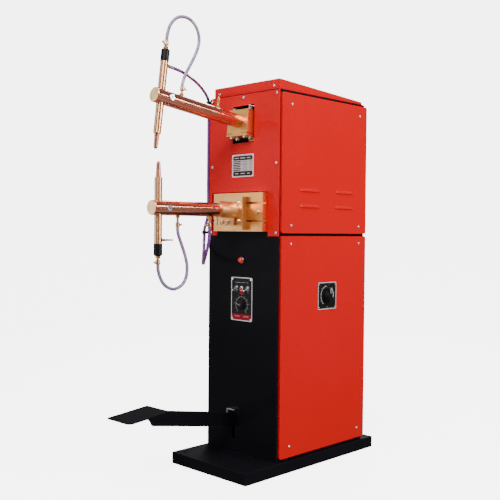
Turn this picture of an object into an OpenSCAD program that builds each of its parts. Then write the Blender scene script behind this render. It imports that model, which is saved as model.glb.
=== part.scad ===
// Pedal-operated rocker-arm spot welder.
// Millimetres, +Z up. The arms point along -Y. The origin is on the floor, under the
// middle of the front face of the cabinet's top cover.

/* [Cabinet] */
// Height of the front edge of the top cover
cabinet_h = 1350; // [1340:1:1370]
// Fall of the roof from front to rear
roof_fall = 25; // [10:1:30]
// Half width over the side covers
cover_half_w = 176; // [174:1:180]
// Depth of the side covers
cover_depth = 479; // [470:1:490]
// Sheet thickness of the covers
sheet = 2; // [1.5:0.5:2.5]

/* [Base] */
// Width of the base plinth
base_w = 368; // [360:1:400]
// Reach of the plinth in front of the cabinet
base_front = 173; // [150:1:200]
// Rear edge of the plinth, behind the cabinet's front
base_rear = 525; // [510:1:540]
// Height of the plinth
base_h = 40; // [36:1:44]

/* [Arms] */
// Diameter of both arms
arm_d = 48; // [44:1:50]
// Height of the lower arm's axis
lower_arm_z = 903; // [900:1:906]
// Lower electrode's distance in front of the cabinet
lower_reach = 393.5; // [380:0.5:400]
// Rest tilt of the rocker, front end up
arm_tilt = 7; // [6:0.5:8]
// Electrode's distance from the rocker's pivot, along the arm
upper_reach = 512; // [505:1:520]
// Distance of the upper arm's axis below the pivot
arm_drop = 61; // [58:1:64]
// Arm length beyond the electrode holder
arm_end = 28; // [22:1:34]

/* [Electrodes] */
// Diameter of the electrode holders
holder_d = 25; // [22:1:27]
// Holder length from the arm's axis to the cap
cap_side = 115; // [110:1:120]
// Upper holder's length from the arm's axis to its tip
upper_tip_side = 118.4; // [110:0.2:120]
// Lower holder's length from the arm's axis to its tip
lower_tip_side = 97; // [90:1:100]

/* [Rocker] */
// Distance of the rocker's pivot behind the front face
pivot_y = 130; // [125:1:135]
// Height of the rocker's pivot
pivot_z = 1255; // [1250:1:1258]
// Diameter of both hinge shafts
shaft_d = 25; // [20:1:25]

/* [Pedal] */
// Sideways place of the pedal lever and the push rod
pedal_x = -38; // [-42:1:-34]
// Distance of the pedal's pivot behind the front face
pedal_y = 190; // [180:1:200]
// Height of the pedal's pivot
pedal_z = 120; // [116:1:124]
// Rest tilt of the pedal lever, front end up
pedal_tilt = 9.9; // [9:0.1:10.5]
// Thickness of the pedal lever
lever_t = 12; // [10:1:14]
// Height of the pedal lever's bar
lever_h = 50; // [44:1:52]

/* [Hoses] */
// Outside diameter of the water hoses
hose_d = 11; // [9:1:11]
// Sides of a hose's cross section
hose_sides = 10; // [8:1:12]

/* [Hidden] */
$fn = 64;

// Colours
red = [0.80, 0.13, 0.11];
black = [0.07, 0.07, 0.08];
copper = [0.80, 0.48, 0.33];
brass = [0.83, 0.65, 0.34];
zinc = [0.80, 0.81, 0.83];
dark_steel = [0.35, 0.36, 0.38];
bakelite = [0.10, 0.10, 0.11];
hose_tint = [0.72, 0.66, 0.80];

// Clearances: running fits, still fits and weld lines
run_gap = 0.05;
still_gap = 0.02;
weld_gap = 0.2;

// Levels of the cabinet, from the floor
frame_top = 1314;
upper_cover_top = 1304;
upper_cover_bottom = 824.5;
lower_cover_top = 815;
lower_cover_bottom = 50;
front_top = 1311;
front_split = 814;
panel_top = 829.5;

// Planes of the cabinet
post_half_w = 166;
post_front = -9;
post_rear = 474;
front_half_w = 172;
front_face = -12;
front_t = 3;
cap_half_w = 160;
cap_rear = 465;
cover_front = -1;
cover_fold = cover_half_w - post_half_w;

// Posts and rails
post_side = 70;
post_face = 40;
post_t = 4;
rail_h = 24;
mid_rail_z = 800;
mid_rail_h = 40;

// Rows of the cover screws
screw_head_r = 5;
screw_head_h = 2.5;
screw_shank_r = 2.5;
cover_screw_y = [50, 436];
cover_screw_z = [1267, 851, 788, 88];
front_screws = [[-158.5, 1300], [158.5, 1300], [0, 1301], [-158, 1063], [158, 1063],
    [-159, 825], [159, 825]];
cap_screws = [[-134, 1328], [134, 1328]];

// Louvres of the upper side covers: near edge and height of each
louvre_y = [92, 290];
louvre_z = [972, 916];
louvre_w = 104;
louvre_gap = 3;
louvre_rise = 2.4;

// Rocker slot in the upper front plate
slot_half_w = 53;
slot_bottom = 1142;
slot_top = 1272;

// Arm platen, its sleeve and T-slots
platen_half_w = 121;
platen_z = [830, 964];
platen_y = [-38, -5];
t_slot_z = [866, 928];
t_slot_w = 6.4;
flange_half_w = 45;
flange_z = [835, 950];
flange_t = 22;
sleeve_r = 30;
sleeve_front = -136;
pinch_y = [-124, -94];
pinch_z = 861;
lug_half_w = 13;

// Operator's panel: heights on the front and places on the plate
pilot_z = 728;
pilot_x = -4;
panel_plate_z = [513, 667];
panel_plate_half_w = 52;
weld_lamp_z = 627;
toggle_x = [-24, 31];
toggle_z = 629;
toggle_ball_r = 4;
toggle_ball_y = -17;
toggle_rest = 25;
toggle_pin_r = 1.2;
dial_z = 570;
plate_t = 1.5;
face_y = front_face - plate_t;

// Heat selector on the right lower cover
selector_y = 247.5;
selector_z = 600;
selector_plate_size = [104, 98];

// Parts of the arm clamp, in the rocker's frame
block_front = -164;
block_rear = -70;
block_half_w = 49;
block_top = -19;
block_bottom = -103;
cap_bar_top = -105;
cap_bar_bottom = -113;
clamp_bolt_x = 32;
clamp_bolt_y = [-152, -124];
top_bolt_x = 38;
top_bolt_y = -144;

// Rocker's tail and the push rod
tail_reach = 262;
rod_y = pivot_y + tail_reach * cos(arm_tilt);
rod_r = 8;
rod_pin_z = pedal_z - (rod_y - pedal_y) * tan(pedal_tilt);
rod_top = 1262;
guide_z = [690, 706];
return_seat_z = 590;
pressure_seat_z = 1100;
seat_h = 8;
seat_r = 16;

// Arms
arm_r = arm_d / 2;
arm_rear_rocker = -72;
lower_arm_rear = -42;
screw_back = 24;
upper_nipple_y = [-428, -264];
lower_nipple_y = [-312, -171];
nipple_shank_r = 4;
hose_r = hose_d / 2;
clip_r = hose_r + 3.4;

// Electrodes
holder_r = holder_d / 2;
cap_len = 39;
cap_r = 14;
tip_shank_r = 7.85;
tip_base_r = 9;
tip_end_r = 6.6;
tip_cone_h = 44.4;
side_nipple_z = 103;
tail_fitting_end = 182;
upper_side_end = 35.5;
lower_side_end = 62;

// Pedal
pedal_front_bottom = -575;
plate_back = -517;
plate_len = 164;
plate_tilt = 15.3;
plate_w = 118;
plate_gauge = 5;
pedal_tail = 215;
tail_h = 30;

// Hose routes, points in order along each hose
upper_loop_route = [[0, -363.3, 1437.5], [0, -362.3, 1445.4], [0, -360.5, 1456],
    [0, -357, 1470], [0, -349, 1489], [0, -335, 1507], [0, -316, 1521], [0, -294, 1527],
    [0, -271, 1526], [0, -251, 1517], [0, -236, 1502], [0, -227, 1484], [0, -224, 1463],
    [0, -228, 1441], [0, -238, 1417], [0, -252, 1392], [0, -266, 1369], [0, -279, 1348],
    [0, -289, 1328], [0, -294.6, 1309.4], [0, -295.6, 1301.2]];
lower_loop_route = [[0, -393.5, 721], [0, -393.5, 713], [0, -392, 702], [0, -387, 687],
    [0, -378, 669], [0, -364, 654], [0, -346, 644], [0, -326, 640], [0, -305, 645],
    [0, -286, 657], [0, -274, 677], [0, -270, 700], [0, -272, 725], [0, -280, 751],
    [0, -291, 777], [0, -302, 801], [0, -310, 822], [0, -312, 835], [0, -312, 843]];
supply_route = [[0, -337.7, 1354.9], [0, -330.8, 1354], [-4, -315, 1353.2], [-13, -293, 1353],
    [-30, -263, 1353.5], [-51, -231, 1354], [-74, -197, 1354], [-97, -160, 1353],
    [-119, -123, 1349], [-139, -89, 1343], [-156, -59, 1335], [-170, -34, 1325],
    [-179, -17, 1314], [-182, -10, 1300], [-182, -10, 1278], [-182, -10, 1150],
    [-182, -10, 1000], [-182, -10, 900], [-183, -12, 878], [-186, -18, 853],
    [-188, -22, 835], [-188, -22, 808], [-186, -25, 789], [-179, -32, 767],
    [-167, -45, 747], [-149, -62, 730], [-125, -85, 719], [-98, -109, 715],
    [-69, -133, 719], [-42, -154, 732], [-19, -167, 755], [-5, -171, 785],
    [0, -171, 815], [0, -171, 843]];
// Points of the supply hose where it changes from one stretch to the next
supply_split = [7, 21];

// Places things in the rocker's own frame: pivot at the origin, arm level
module on_rocker() {
    translate([0, pivot_y, pivot_z]) rotate([-arm_tilt, 0, 0]) children();
}

// Places things in the pedal lever's own frame: pivot at the origin, lever level
module on_pedal() {
    translate([pedal_x, pedal_y, pedal_z]) rotate([-pedal_tilt, 0, 0]) children();
}

// Places an electrode with its tip up on the lower arm
module on_lower_electrode() {
    translate([0, -lower_reach, lower_arm_z]) children();
}

// Places an electrode with its tip down on the upper arm
module on_upper_electrode() {
    on_rocker() translate([0, -upper_reach, -arm_drop]) mirror([0, 0, 1]) children();
}

// A box from its low corner to its high corner
module block(low, high) {
    translate(low) cube(high - low);
}

// Round bars along X, Y and Z, each from a to b
module bar_x(r, a, b, y, z) {
    translate([a, y, z]) rotate([0, 90, 0]) cylinder(r = r, h = b - a);
}
module bar_y(r, a, b, x, z) {
    translate([x, a, z]) rotate([-90, 0, 0]) cylinder(r = r, h = b - a);
}
module bar_z(r, a, b, x, y) {
    translate([x, y, a]) cylinder(r = r, h = b - a);
}

// A rectangle with round corners, in the plane of X and Y
module round_rect(w, h, r) {
    square([w - 2 * r, h], center = true);
    square([w, h - 2 * r], center = true);
    for (x = [-1, 1], y = [-1, 1]) {
        translate([x * (w / 2 - r), y * (h / 2 - r)]) circle(r = r, $fn = 32);
    }
}

// A hex head along +Z with a round washer face under it
module hex_head(flats, h) {
    cylinder(r = flats / 2 / cos(30), h = h, $fn = 6);
}

// Unit vector
function unit(v) = v / norm(v);

// Direction of a route at point i
function heading(route, i) =
    unit(route[min(i + 1, len(route) - 1)] - route[max(i - 1, 0)]);

// A ring of points about route point i; the side axis is never along the route
function ring(route, i, r, sides) =
    let (t = heading(route, i), u = unit(cross([1, 0, 0], t)), v = cross(t, u))
    [for (k = [0:sides - 1]) route[i] + r * (cos(360 * k / sides) * u + sin(360 * k / sides) * v)];

// One closed tube swept along a route from point first to point last
module tube(route, first, last) {
    sides = hose_sides;
    count = last - first + 1;
    rings = [for (i = [first:last]) each ring(route, i, hose_r, sides)];
    walls = [for (i = [0:count - 2], k = [0:sides - 1])
        let (a = i * sides + k, b = i * sides + (k + 1) % sides)
        each [[a, b, b + sides], [a, b + sides, a + sides]]];
    near_end = [for (k = [sides - 1:-1:0]) k];
    far_end = [for (k = [0:sides - 1]) (count - 1) * sides + k];
    polyhedron(points = rings, faces = concat(walls, [near_end, far_end]), convexity = 8);
}

// --- Base and frame -------------------------------------------------------------------

anchor_x = 150;
anchor_y = [-140, 492];
anchor_r = 7;
rib_t = 8;
base_wall = 6;
rib_x = [-62, 62];
rib_y = [-90, 0, 105, 210, 315, 420];

module base_plinth() {
    color(black) difference() {
        block([-base_w / 2, -base_front, 0], [base_w / 2, base_rear, base_h]);
        difference() {
            block([-base_w / 2 + base_wall, -base_front + base_wall, -1],
                [base_w / 2 - base_wall, base_rear - base_wall, base_h - base_wall]);
            for (x = rib_x) {
                block([x - rib_t / 2, -base_front, -1], [x + rib_t / 2, base_rear, base_h]);
            }
            for (y = rib_y) {
                block([-base_w / 2, y - rib_t / 2, -1], [base_w / 2, y + rib_t / 2, base_h]);
            }
            for (x = [-1, 1], y = anchor_y) {
                block([x * anchor_x - 20, y - 20, -1], [x * anchor_x + 20, y + 20, base_h]);
            }
        }
        for (x = [-1, 1], y = anchor_y) bar_z(anchor_r, -1, base_h + 1, x * anchor_x, y);
    }
}

// One corner post: an angle with a wide flange on the side of the cabinet
module corner_post(x_side, y_outer, y_side) {
    x0 = x_side * post_half_w;
    mirror([x_side < 0 ? 1 : 0, 0, 0]) mirror([0, y_side < 0 ? 1 : 0, 0])
        translate([abs(x0), y_side * y_outer, 0]) {
            block([-post_t, 0, base_h], [0, post_side, frame_top]);
            block([-post_face, 0, base_h], [0, post_t, frame_top]);
        }
}

module hinge_ear(x0, x1, y, z, foot_z, half_w) {
    difference() {
        union() {
            block([x0, y - half_w, foot_z + weld_gap], [x1, y + half_w, z]);
            bar_x(half_w, x0, x1, y, z);
        }
        bar_x(shaft_d / 2 + still_gap, x0 - 1, x1 + 1, y, z);
    }
}

beam_y = [95, 165];
beam_z = [1150, 1172];
shelf_y = [[140, 180], [240, 280]];
shelf_z = [540, 556];
ear_half_w = 26;

module cabinet_frame() {
    inner = post_half_w - weld_gap;
    color(black) {
        for (x = [-1, 1]) {
            corner_post(x, post_front, 1);
            corner_post(x, post_rear, -1);
        }
        // Side rails between the front and rear posts
        for (x = [-1, 1], z = [[base_h + weld_gap, 80], [mid_rail_z, mid_rail_z + mid_rail_h],
            [frame_top - rail_h, frame_top]]) {
            x0 = x > 0 ? post_half_w - post_t : -post_half_w;
            block([x0, post_front + post_side + weld_gap, z[0]],
                [x0 + post_t, post_rear - post_side - weld_gap, z[1]]);
        }
        // Cross rails at the top, front and rear
        for (y = [post_front, post_rear - post_t]) {
            block([-post_half_w + post_face + weld_gap, y, frame_top - rail_h],
                [post_half_w - post_face - weld_gap, y + post_t, frame_top]);
        }
        // Shelf bars under the transformer
        for (y = shelf_y) {
            block([-inner + post_t, y[0], shelf_z[0]], [inner - post_t, y[1], shelf_z[1]]);
        }
        // Beam and ears of the rocker's pivot
        block([-inner + post_t, beam_y[0], beam_z[0]], [inner - post_t, beam_y[1], beam_z[1]]);
        hinge_ear(42, 54, pivot_y, pivot_z, beam_z[1], ear_half_w);
        hinge_ear(-54, -42, pivot_y, pivot_z, beam_z[1], ear_half_w);
        // Ears of the pedal's pivot
        hinge_ear(pedal_x + 13, pedal_x + 23, pedal_y, pedal_z, base_h, ear_half_w);
        hinge_ear(pedal_x - 23, pedal_x - 13, pedal_y, pedal_z, base_h, ear_half_w);
        // Brackets behind the arm platen, with a bolt hole each
        for (x = [-1, 1]) difference() {
            block([x > 0 ? 82 : -150, platen_y[1] + weld_gap, 838],
                [x > 0 ? 150 : -82, platen_y[1] + 8, 956]);
            bar_y(4 + still_gap, platen_y[1] - 1, platen_y[1] + 9, x * 96, 897);
        }
        // Guide bar of the push rod
        difference() {
            block([-inner + post_t, rod_y - 18, guide_z[0]], [inner - post_t, rod_y + 18, guide_z[1]]);
            bar_z(rod_r + run_gap, guide_z[0] - 1, guide_z[1] + 1, pedal_x, rod_y);
        }
    }
}

module hinge_shafts() {
    color(dark_steel) {
        bar_x(shaft_d / 2, -60, 60, pivot_y, pivot_z);
        bar_x(shaft_d / 2, pedal_x - 29, pedal_x + 29, pedal_y, pedal_z);
    }
}

// --- Sheet metal ----------------------------------------------------------------------

// Side view of the roof, inset by t on every side but the open bottom
module roof_profile(t) {
    slope = roof_fall / cap_rear;
    polygon([[t, frame_top - (t > 0 ? 1 : 0)], [t, cabinet_h - t - slope * t],
        [cap_rear - t, cabinet_h - t - slope * (cap_rear - t)],
        [cap_rear - t, frame_top - (t > 0 ? 1 : 0)]]);
}

module roof_prism(t) {
    translate([-cap_half_w + t, 0, 0]) rotate([90, 0, 90])
        linear_extrude(2 * (cap_half_w - t)) roof_profile(t);
}

module top_cover() {
    color(red) difference() {
        roof_prism(0);
        roof_prism(sheet);
        for (s = cap_screws) bar_y(screw_shank_r + still_gap, -1, sheet + 1, s[0], s[1]);
    }
}

module front_plate_upper() {
    color(red) difference() {
        block([-front_half_w, front_face, front_split], [front_half_w, front_face + front_t, front_top]);
        block([-slot_half_w, front_face - 1, slot_bottom], [slot_half_w, 0, slot_top]);
        block([-158, front_face - 1, 832], [121.5, 0, 969]);
        block([-130, front_face - 1, front_split - 1], [121.5, 0, 900]);
        for (s = front_screws) bar_y(screw_shank_r + still_gap, front_face - 1, 0, s[0], s[1]);
    }
}

module front_panel_lower() {
    back = front_face + front_t;
    color(black) difference() {
        union() {
            block([-front_half_w, front_face, base_h], [front_half_w, back, front_split - 0.3]);
            block([-129.6, front_face, front_split - 1], [121, back, panel_top]);
        }
        block([pedal_x - 9, front_face - 1, 86], [pedal_x + 9, 0, 186]);
        bar_y(8.05, front_face - 1, 0, pilot_x, pilot_z);
        bar_y(7.05, front_face - 1, 0, 0, weld_lamp_z);
        for (x = toggle_x) bar_y(6.05, front_face - 1, 0, x, toggle_z);
        bar_y(5.05, front_face - 1, 0, 0, dial_z);
    }
}

// One pressed louvre: a slit with a hood above it
module louvre_slit(y, z) {
    block([cover_half_w - sheet - 1, y, z], [cover_half_w + 1, y + louvre_w, z + louvre_gap]);
}

module louvre_hood(y, z) {
    translate([cover_half_w, y, z + louvre_gap]) rotate([-90, 0, 0]) linear_extrude(louvre_w)
        polygon([[-1, -4], [-1, -1.5], [louvre_rise - 0.8, louvre_gap], [louvre_rise, louvre_gap - 0.6]]);
}

// A side cover: a shallow tray that opens towards the frame
module side_tray(z0, z1) {
    difference() {
        translate([post_half_w, (cover_front + cover_front + cover_depth) / 2, (z0 + z1) / 2])
            rotate([90, 0, 90]) linear_extrude(cover_fold)
                round_rect(cover_depth, z1 - z0, 8);
        translate([post_half_w - 1, (cover_front + cover_front + cover_depth) / 2, (z0 + z1) / 2])
            rotate([90, 0, 90]) linear_extrude(cover_fold - sheet + 1)
                round_rect(cover_depth - 2 * sheet, z1 - z0 - 2 * sheet, 6);
        for (y = cover_screw_y, z = cover_screw_z) {
            bar_x(screw_shank_r + still_gap, post_half_w, cover_half_w + 1, y, z);
        }
    }
}

module upper_tray() {
    difference() {
        side_tray(upper_cover_bottom, upper_cover_top);
        for (y = louvre_y, z = louvre_z) louvre_slit(y, z);
    }
    for (y = louvre_y, z = louvre_z) louvre_hood(y, z);
}

module right_upper_cover() {
    color(red) upper_tray();
}

module left_upper_cover() {
    color(red) mirror([1, 0, 0]) upper_tray();
}

module right_lower_cover() {
    color(red) difference() {
        side_tray(lower_cover_bottom, lower_cover_top);
        bar_x(7, cover_half_w - sheet - 1, cover_half_w + 1, selector_y, selector_z);
    }
}

module left_lower_cover() {
    color(red) mirror([1, 0, 0]) side_tray(lower_cover_bottom, lower_cover_top);
}

gland_x = 100;
gland_z = 130;
gland_r = 16;
vent_z = [1180, 1200, 1220, 300, 320, 340];

module rear_cover() {
    color(red) difference() {
        block([-165.5, post_rear + still_gap, lower_cover_bottom],
            [165.5, post_rear + 3, upper_cover_top]);
        bar_y(gland_r + still_gap, post_rear - 1, post_rear + 4, gland_x, gland_z);
        for (z = vent_z) block([-90, post_rear - 1, z], [90, post_rear + 4, z + 6]);
    }
}

// A pan-head screw along +Z, its head on top of z = 0
module pan_screw(grip) {
    translate([0, 0, -grip]) cylinder(r = screw_shank_r, h = grip, $fn = 24);
    intersection() {
        cylinder(r = screw_head_r, h = screw_head_h, $fn = 32);
        translate([0, 0, screw_head_h - 8]) sphere(r = 8);
    }
}

module cover_screws() {
    color(zinc) {
        for (x = [-1, 1], y = cover_screw_y, z = cover_screw_z) {
            translate([x * (cover_half_w + still_gap), y, z]) rotate([0, x * 90, 0])
                pan_screw(cover_fold - 0.1);
        }
        for (s = front_screws) {
            lift = s[1] < 1290 || abs(s[0]) < 1 || s[0] > 0 ? 0 : 2;
            clip_lift = s[0] < 0 && s[1] < 830 ? 2 : lift;
            translate([s[0], front_face - clip_lift - still_gap, s[1]]) rotate([90, 0, 0])
                pan_screw(front_t + clip_lift - 0.2);
        }
        for (s = cap_screws) translate([s[0], -still_gap, s[1]]) rotate([90, 0, 0]) pan_screw(6);
    }
}

// --- Operator's controls --------------------------------------------------------------

module wall_plate(w, h, hole_r) {
    difference() {
        rotate([90, 0, 0]) linear_extrude(plate_t) round_rect(w, h, 3);
        if (hole_r > 0) bar_y(hole_r, -plate_t - 1, 1, 0, 0);
    }
}

module rating_plate() {
    color(zinc) translate([0, front_face - still_gap, 1061.5]) wall_plate(106, 79, 0);
}

module control_plate() {
    z_mid = (panel_plate_z[0] + panel_plate_z[1]) / 2;
    color(bakelite) difference() {
        translate([0, front_face - still_gap, z_mid])
            wall_plate(2 * panel_plate_half_w, panel_plate_z[1] - panel_plate_z[0], 0);
        bar_y(7.05, face_y - 1, 0, 0, weld_lamp_z);
        for (x = toggle_x) bar_y(6.05, face_y - 1, 0, x, toggle_z);
        bar_y(5.05, face_y - 1, 0, 0, dial_z);
    }
}

// Domed lens with a shank through the panel
module lens(r, shank_r, y_front, x, z) {
    bar_y(shank_r, y_front, front_face + front_t + 4, x, z);
    translate([x, y_front, z]) rotate([90, 0, 0]) intersection() {
        cylinder(r = r, h = r);
        sphere(r = r);
    }
}

module lamp_lenses() {
    color([0.85, 0.08, 0.08]) {
        lens(10, 8, front_face - 3, pilot_x, pilot_z);
        lens(6, 5, face_y - 3.2, 0, weld_lamp_z);
    }
}

module control_bezels() {
    color(zinc) {
        // Ring under the pilot lamp's dome
        difference() {
            bar_y(12, front_face - 3, front_face - still_gap, pilot_x, pilot_z);
            bar_y(8 + still_gap, front_face - 4, front_face + 1, pilot_x, pilot_z);
        }
        // Flanged sleeve round the weld lamp
        difference() {
            union() {
                bar_y(10, face_y - 3, face_y - 2 * still_gap, 0, weld_lamp_z);
                bar_y(7, face_y - 1, front_face + front_t + 2, 0, weld_lamp_z);
            }
            bar_y(5 + still_gap, face_y - 4, 0, 0, weld_lamp_z);
        }
        // Bush and nut of each toggle
        for (x = toggle_x) difference() {
            union() {
                bar_y(6, face_y - 8, front_face + front_t + 2, x, toggle_z);
                translate([x, face_y - 2 * still_gap, toggle_z]) rotate([90, 0, 0]) hex_head(15, 2.5);
            }
            bar_y(toggle_ball_r + 0.3, face_y - 9, toggle_ball_y + 4.6, x, toggle_z);
            bar_x(toggle_pin_r + run_gap, x - 5.5, x + 5.5, toggle_ball_y, toggle_z);
        }
    }
}

// Toggle lever: ball in the bush and a bat that points down at rest
module toggle_lever(x) {
    translate([x, toggle_ball_y, toggle_z]) rotate([90 + toggle_rest, 0, 0]) {
        sphere(r = toggle_ball_r);
        cylinder(r1 = 1.6, r2 = 2.8, h = 19);
        translate([0, 0, 19]) sphere(r = 2.8);
        bar_x(toggle_pin_r, -5.3, 5.3, 0, 0);
    }
}

module left_toggle() {
    color(zinc) toggle_lever(toggle_x[0]);
}

module right_toggle() {
    color(zinc) toggle_lever(toggle_x[1]);
}

module weld_timer() {
    y0 = front_face + front_t + 0.3;
    difference() {
        block([-46, y0, 520], [46, y0 + 62, 662]);
        bar_y(3 + run_gap, y0 - 1, y0 + 20, 0, dial_z);
        bar_y(8.5, y0 - 1, y0 + 8, 0, weld_lamp_z);
        for (x = toggle_x) bar_y(7, y0 - 1, y0 + 8, x, toggle_z);
    }
}

module timer_knob() {
    color(bakelite) {
        bar_y(3, face_y - 2, front_face + front_t + 14, 0, dial_z);
        bar_y(14, face_y - 11, face_y - 2, 0, dial_z);
        bar_y(17, face_y - 4, face_y - 2, 0, dial_z);
        block([-2.2, face_y - 13, dial_z - 13], [2.2, face_y - 10, dial_z + 13]);
    }
}

selector_face = cover_half_w + still_gap + plate_t;

module selector_plate() {
    color(bakelite) difference() {
        translate([cover_half_w + still_gap, selector_y, selector_z]) rotate([90, 0, 90])
            linear_extrude(plate_t) round_rect(selector_plate_size[0], selector_plate_size[1], 4);
        bar_x(7, cover_half_w - 1, selector_face + 1, selector_y, selector_z);
    }
}

module tap_switch() {
    x1 = cover_half_w - sheet - 0.1;
    color(dark_steel) difference() {
        union() {
            block([x1 - 66, selector_y - 32, selector_z - 32], [x1 - 4, selector_y + 32, selector_z + 32]);
            bar_x(20, x1 - 5, x1, selector_y, selector_z);
        }
        bar_x(5 + run_gap, x1 - 40, x1 + 1, selector_y, selector_z);
    }
}

module selector_knob() {
    color(bakelite) {
        bar_x(5, cover_half_w - 30, selector_face + 3, selector_y, selector_z);
        bar_x(21, selector_face + 2, selector_face + 9, selector_y, selector_z);
        bar_x(15, selector_face + 8, selector_face + 15, selector_y, selector_z);
        // Winged grip with round ends
        translate([selector_face + 8, selector_y, selector_z]) rotate([90, 0, 90])
            linear_extrude(9) round_rect(12, 56, 5.5);
    }
}

// --- Transformer and switchgear -------------------------------------------------------

core_x = 100;
core_y = [150, 270];
core_z = [556.2, 860];
limb_half = 30;
window_x = [30, 72];
window_z = [606, 812];

module transformer_core() {
    color(dark_steel) difference() {
        block([-core_x, core_y[0], core_z[0]], [core_x, core_y[1], core_z[1]]);
        for (x = [-1, 1]) {
            block([x > 0 ? window_x[0] : -window_x[1], core_y[0] - 1, window_z[0]],
                [x > 0 ? window_x[1] : -window_x[0], core_y[1] + 1, window_z[1]]);
        }
    }
}

// A winding round the middle limb
module winding(z0, z1) {
    difference() {
        block([-70, core_y[0] - 40, z0], [70, core_y[1] + 40, z1]);
        block([-limb_half - 1, core_y[0] - 1, z0 - 1], [limb_half + 1, core_y[1] + 1, z1 + 1]);
    }
}

module primary_coils() {
    color([0.55, 0.28, 0.12]) {
        winding(610, 668);
        winding(672, 730);
    }
}

bus_z = [736, 806];
bus_top = 1012;

module secondary_bus() {
    color(copper) {
        difference() {
            winding(bus_z[0], bus_z[1]);
            block([-5, 0, bus_z[0] - 1], [5, core_y[0], bus_z[1] + 1]);
        }
        // Terminal to the lower arm's platen
        block([-66, 60, bus_z[0]], [-5, core_y[0] - 40, 905]);
        block([-66, platen_y[1] + 0.2, 840], [-5, 61, 905]);
        // Terminal to the flexible shunt
        block([5, 60, bus_z[0]], [66, core_y[0] - 40, bus_top]);
    }
}

// Laminated strap from the transformer to the arm clamp
module flexible_shunt() {
    color(copper) translate([8, 0, 0]) rotate([90, 0, 90]) linear_extrude(50)
        polygon([[62, bus_top + 0.3], [108, bus_top + 0.3], [108, 1022], [92, 1027], [84, 1042],
            [84, 1100], [78, 1122], [66, 1138], [53, 1148], [41, 1151.4], [9, 1155.3],
            [8, 1147.5], [39.5, 1143.6], [49, 1140], [61, 1130], [70, 1116], [76, 1098],
            [76, 1042], [70, 1027], [62, 1021]]);
}

module contactor() {
    block([22, 400, 250], [118, post_rear - 0.2, 300]);
    block([28, 392, 304], [112, post_rear - 0.2, 350]);
    block([22, 400, 354], [118, post_rear - 0.2, 400]);
    block([20, 440, 299], [120, post_rear - 0.2, 355]);
}

// The weld timer behind the operator's panel and the contactor at the rear
module switchgear() {
    color(bakelite) {
        weld_timer();
        contactor();
    }
}

module mains_gland() {
    color(bakelite) difference() {
        union() {
            bar_y(gland_r, post_rear - 12, post_rear + 12, gland_x, gland_z);
            translate([gland_x, post_rear + 3.1, gland_z]) rotate([-90, 0, 0]) hex_head(38, 9);
            bar_y(15, post_rear + 12, post_rear + 26, gland_x, gland_z);
            translate([gland_x, post_rear - 5, gland_z]) rotate([90, 0, 0]) hex_head(38, 6);
        }
        bar_y(9, post_rear - 20, post_rear + 30, gland_x, gland_z);
    }
}

// --- Lower arm's mounting -------------------------------------------------------------

// T-slot milled from the platen's edge towards the middle
module t_slot(z) {
    block([18, platen_y[0] - 1, z - t_slot_w / 2], [platen_half_w + 1, platen_y[0] + 9, z + t_slot_w / 2]);
    block([14, platen_y[0] + 8, z - 6.5], [platen_half_w + 1, platen_y[0] + 16, z + 6.5]);
    bar_y(t_slot_w / 2, platen_y[0] - 1, platen_y[0] + 9, 18, z);
}

module arm_platen() {
    color(copper) difference() {
        block([-platen_half_w, platen_y[0], platen_z[0]], [platen_half_w, platen_y[1], platen_z[1]]);
        for (z = t_slot_z) {
            t_slot(z);
            mirror([1, 0, 0]) t_slot(z);
        }
        for (x = [-96, 96]) bar_y(4 + still_gap, platen_y[0] - 1, platen_y[1] + 1, x, 897);
    }
}

flange_bolt_x = 27;

module arm_sleeve() {
    flange_front = platen_y[0] - flange_t;
    color(copper) difference() {
        union() {
            block([-flange_half_w, flange_front, flange_z[0]],
                [flange_half_w, platen_y[0] - 0.1, flange_z[1]]);
            bar_y(sleeve_r, sleeve_front, flange_front + 1, 0, lower_arm_z);
            block([-lug_half_w, sleeve_front + 2, 850], [lug_half_w, flange_front - 6, 880]);
        }
        bar_y(arm_r + run_gap, sleeve_front - 1, platen_y[0], 0, lower_arm_z);
        block([-2, sleeve_front - 1, 845], [2, flange_front - 1, lower_arm_z]);
        for (y = pinch_y) bar_x(4 + still_gap, -40, 40, y, pinch_z);
        for (x = [-flange_bolt_x, flange_bolt_x], z = t_slot_z) {
            bar_y(3 + still_gap, flange_front - 1, platen_y[0] + 1, x, z);
        }
    }
}

// Hex bolt along -Y with its head in front and its nut in the T-slot
module flange_bolt(x, z) {
    flange_front = platen_y[0] - flange_t;
    bar_y(3, flange_front - 4, platen_y[0] + 14, x, z);
    translate([x, flange_front - 0.1, z]) rotate([90, 0, 0]) hex_head(10, 4.5);
    block([x - 6, platen_y[0] + 9.3, z - 6], [x + 6, platen_y[0] + 14.5, z + 6]);
}

module lower_mount_bolts() {
    color(zinc) {
        for (x = [-flange_bolt_x, flange_bolt_x], z = t_slot_z) flange_bolt(x, z);
        for (y = pinch_y) {
            bar_x(4, -20, 18, y, pinch_z);
            translate([lug_half_w + 0.1, y, pinch_z]) rotate([0, 90, 0]) hex_head(13, 5.5);
            translate([-lug_half_w - 0.1, y, pinch_z]) rotate([0, -90, 0]) hex_head(13, 6.5);
        }
        for (x = [-96, 96]) {
            bar_y(4, platen_y[0] - 5, platen_y[1] + 12, x, 897);
            bar_y(7, platen_y[0] - 6, platen_y[0] - 0.1, x, 897);
        }
    }
}

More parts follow.
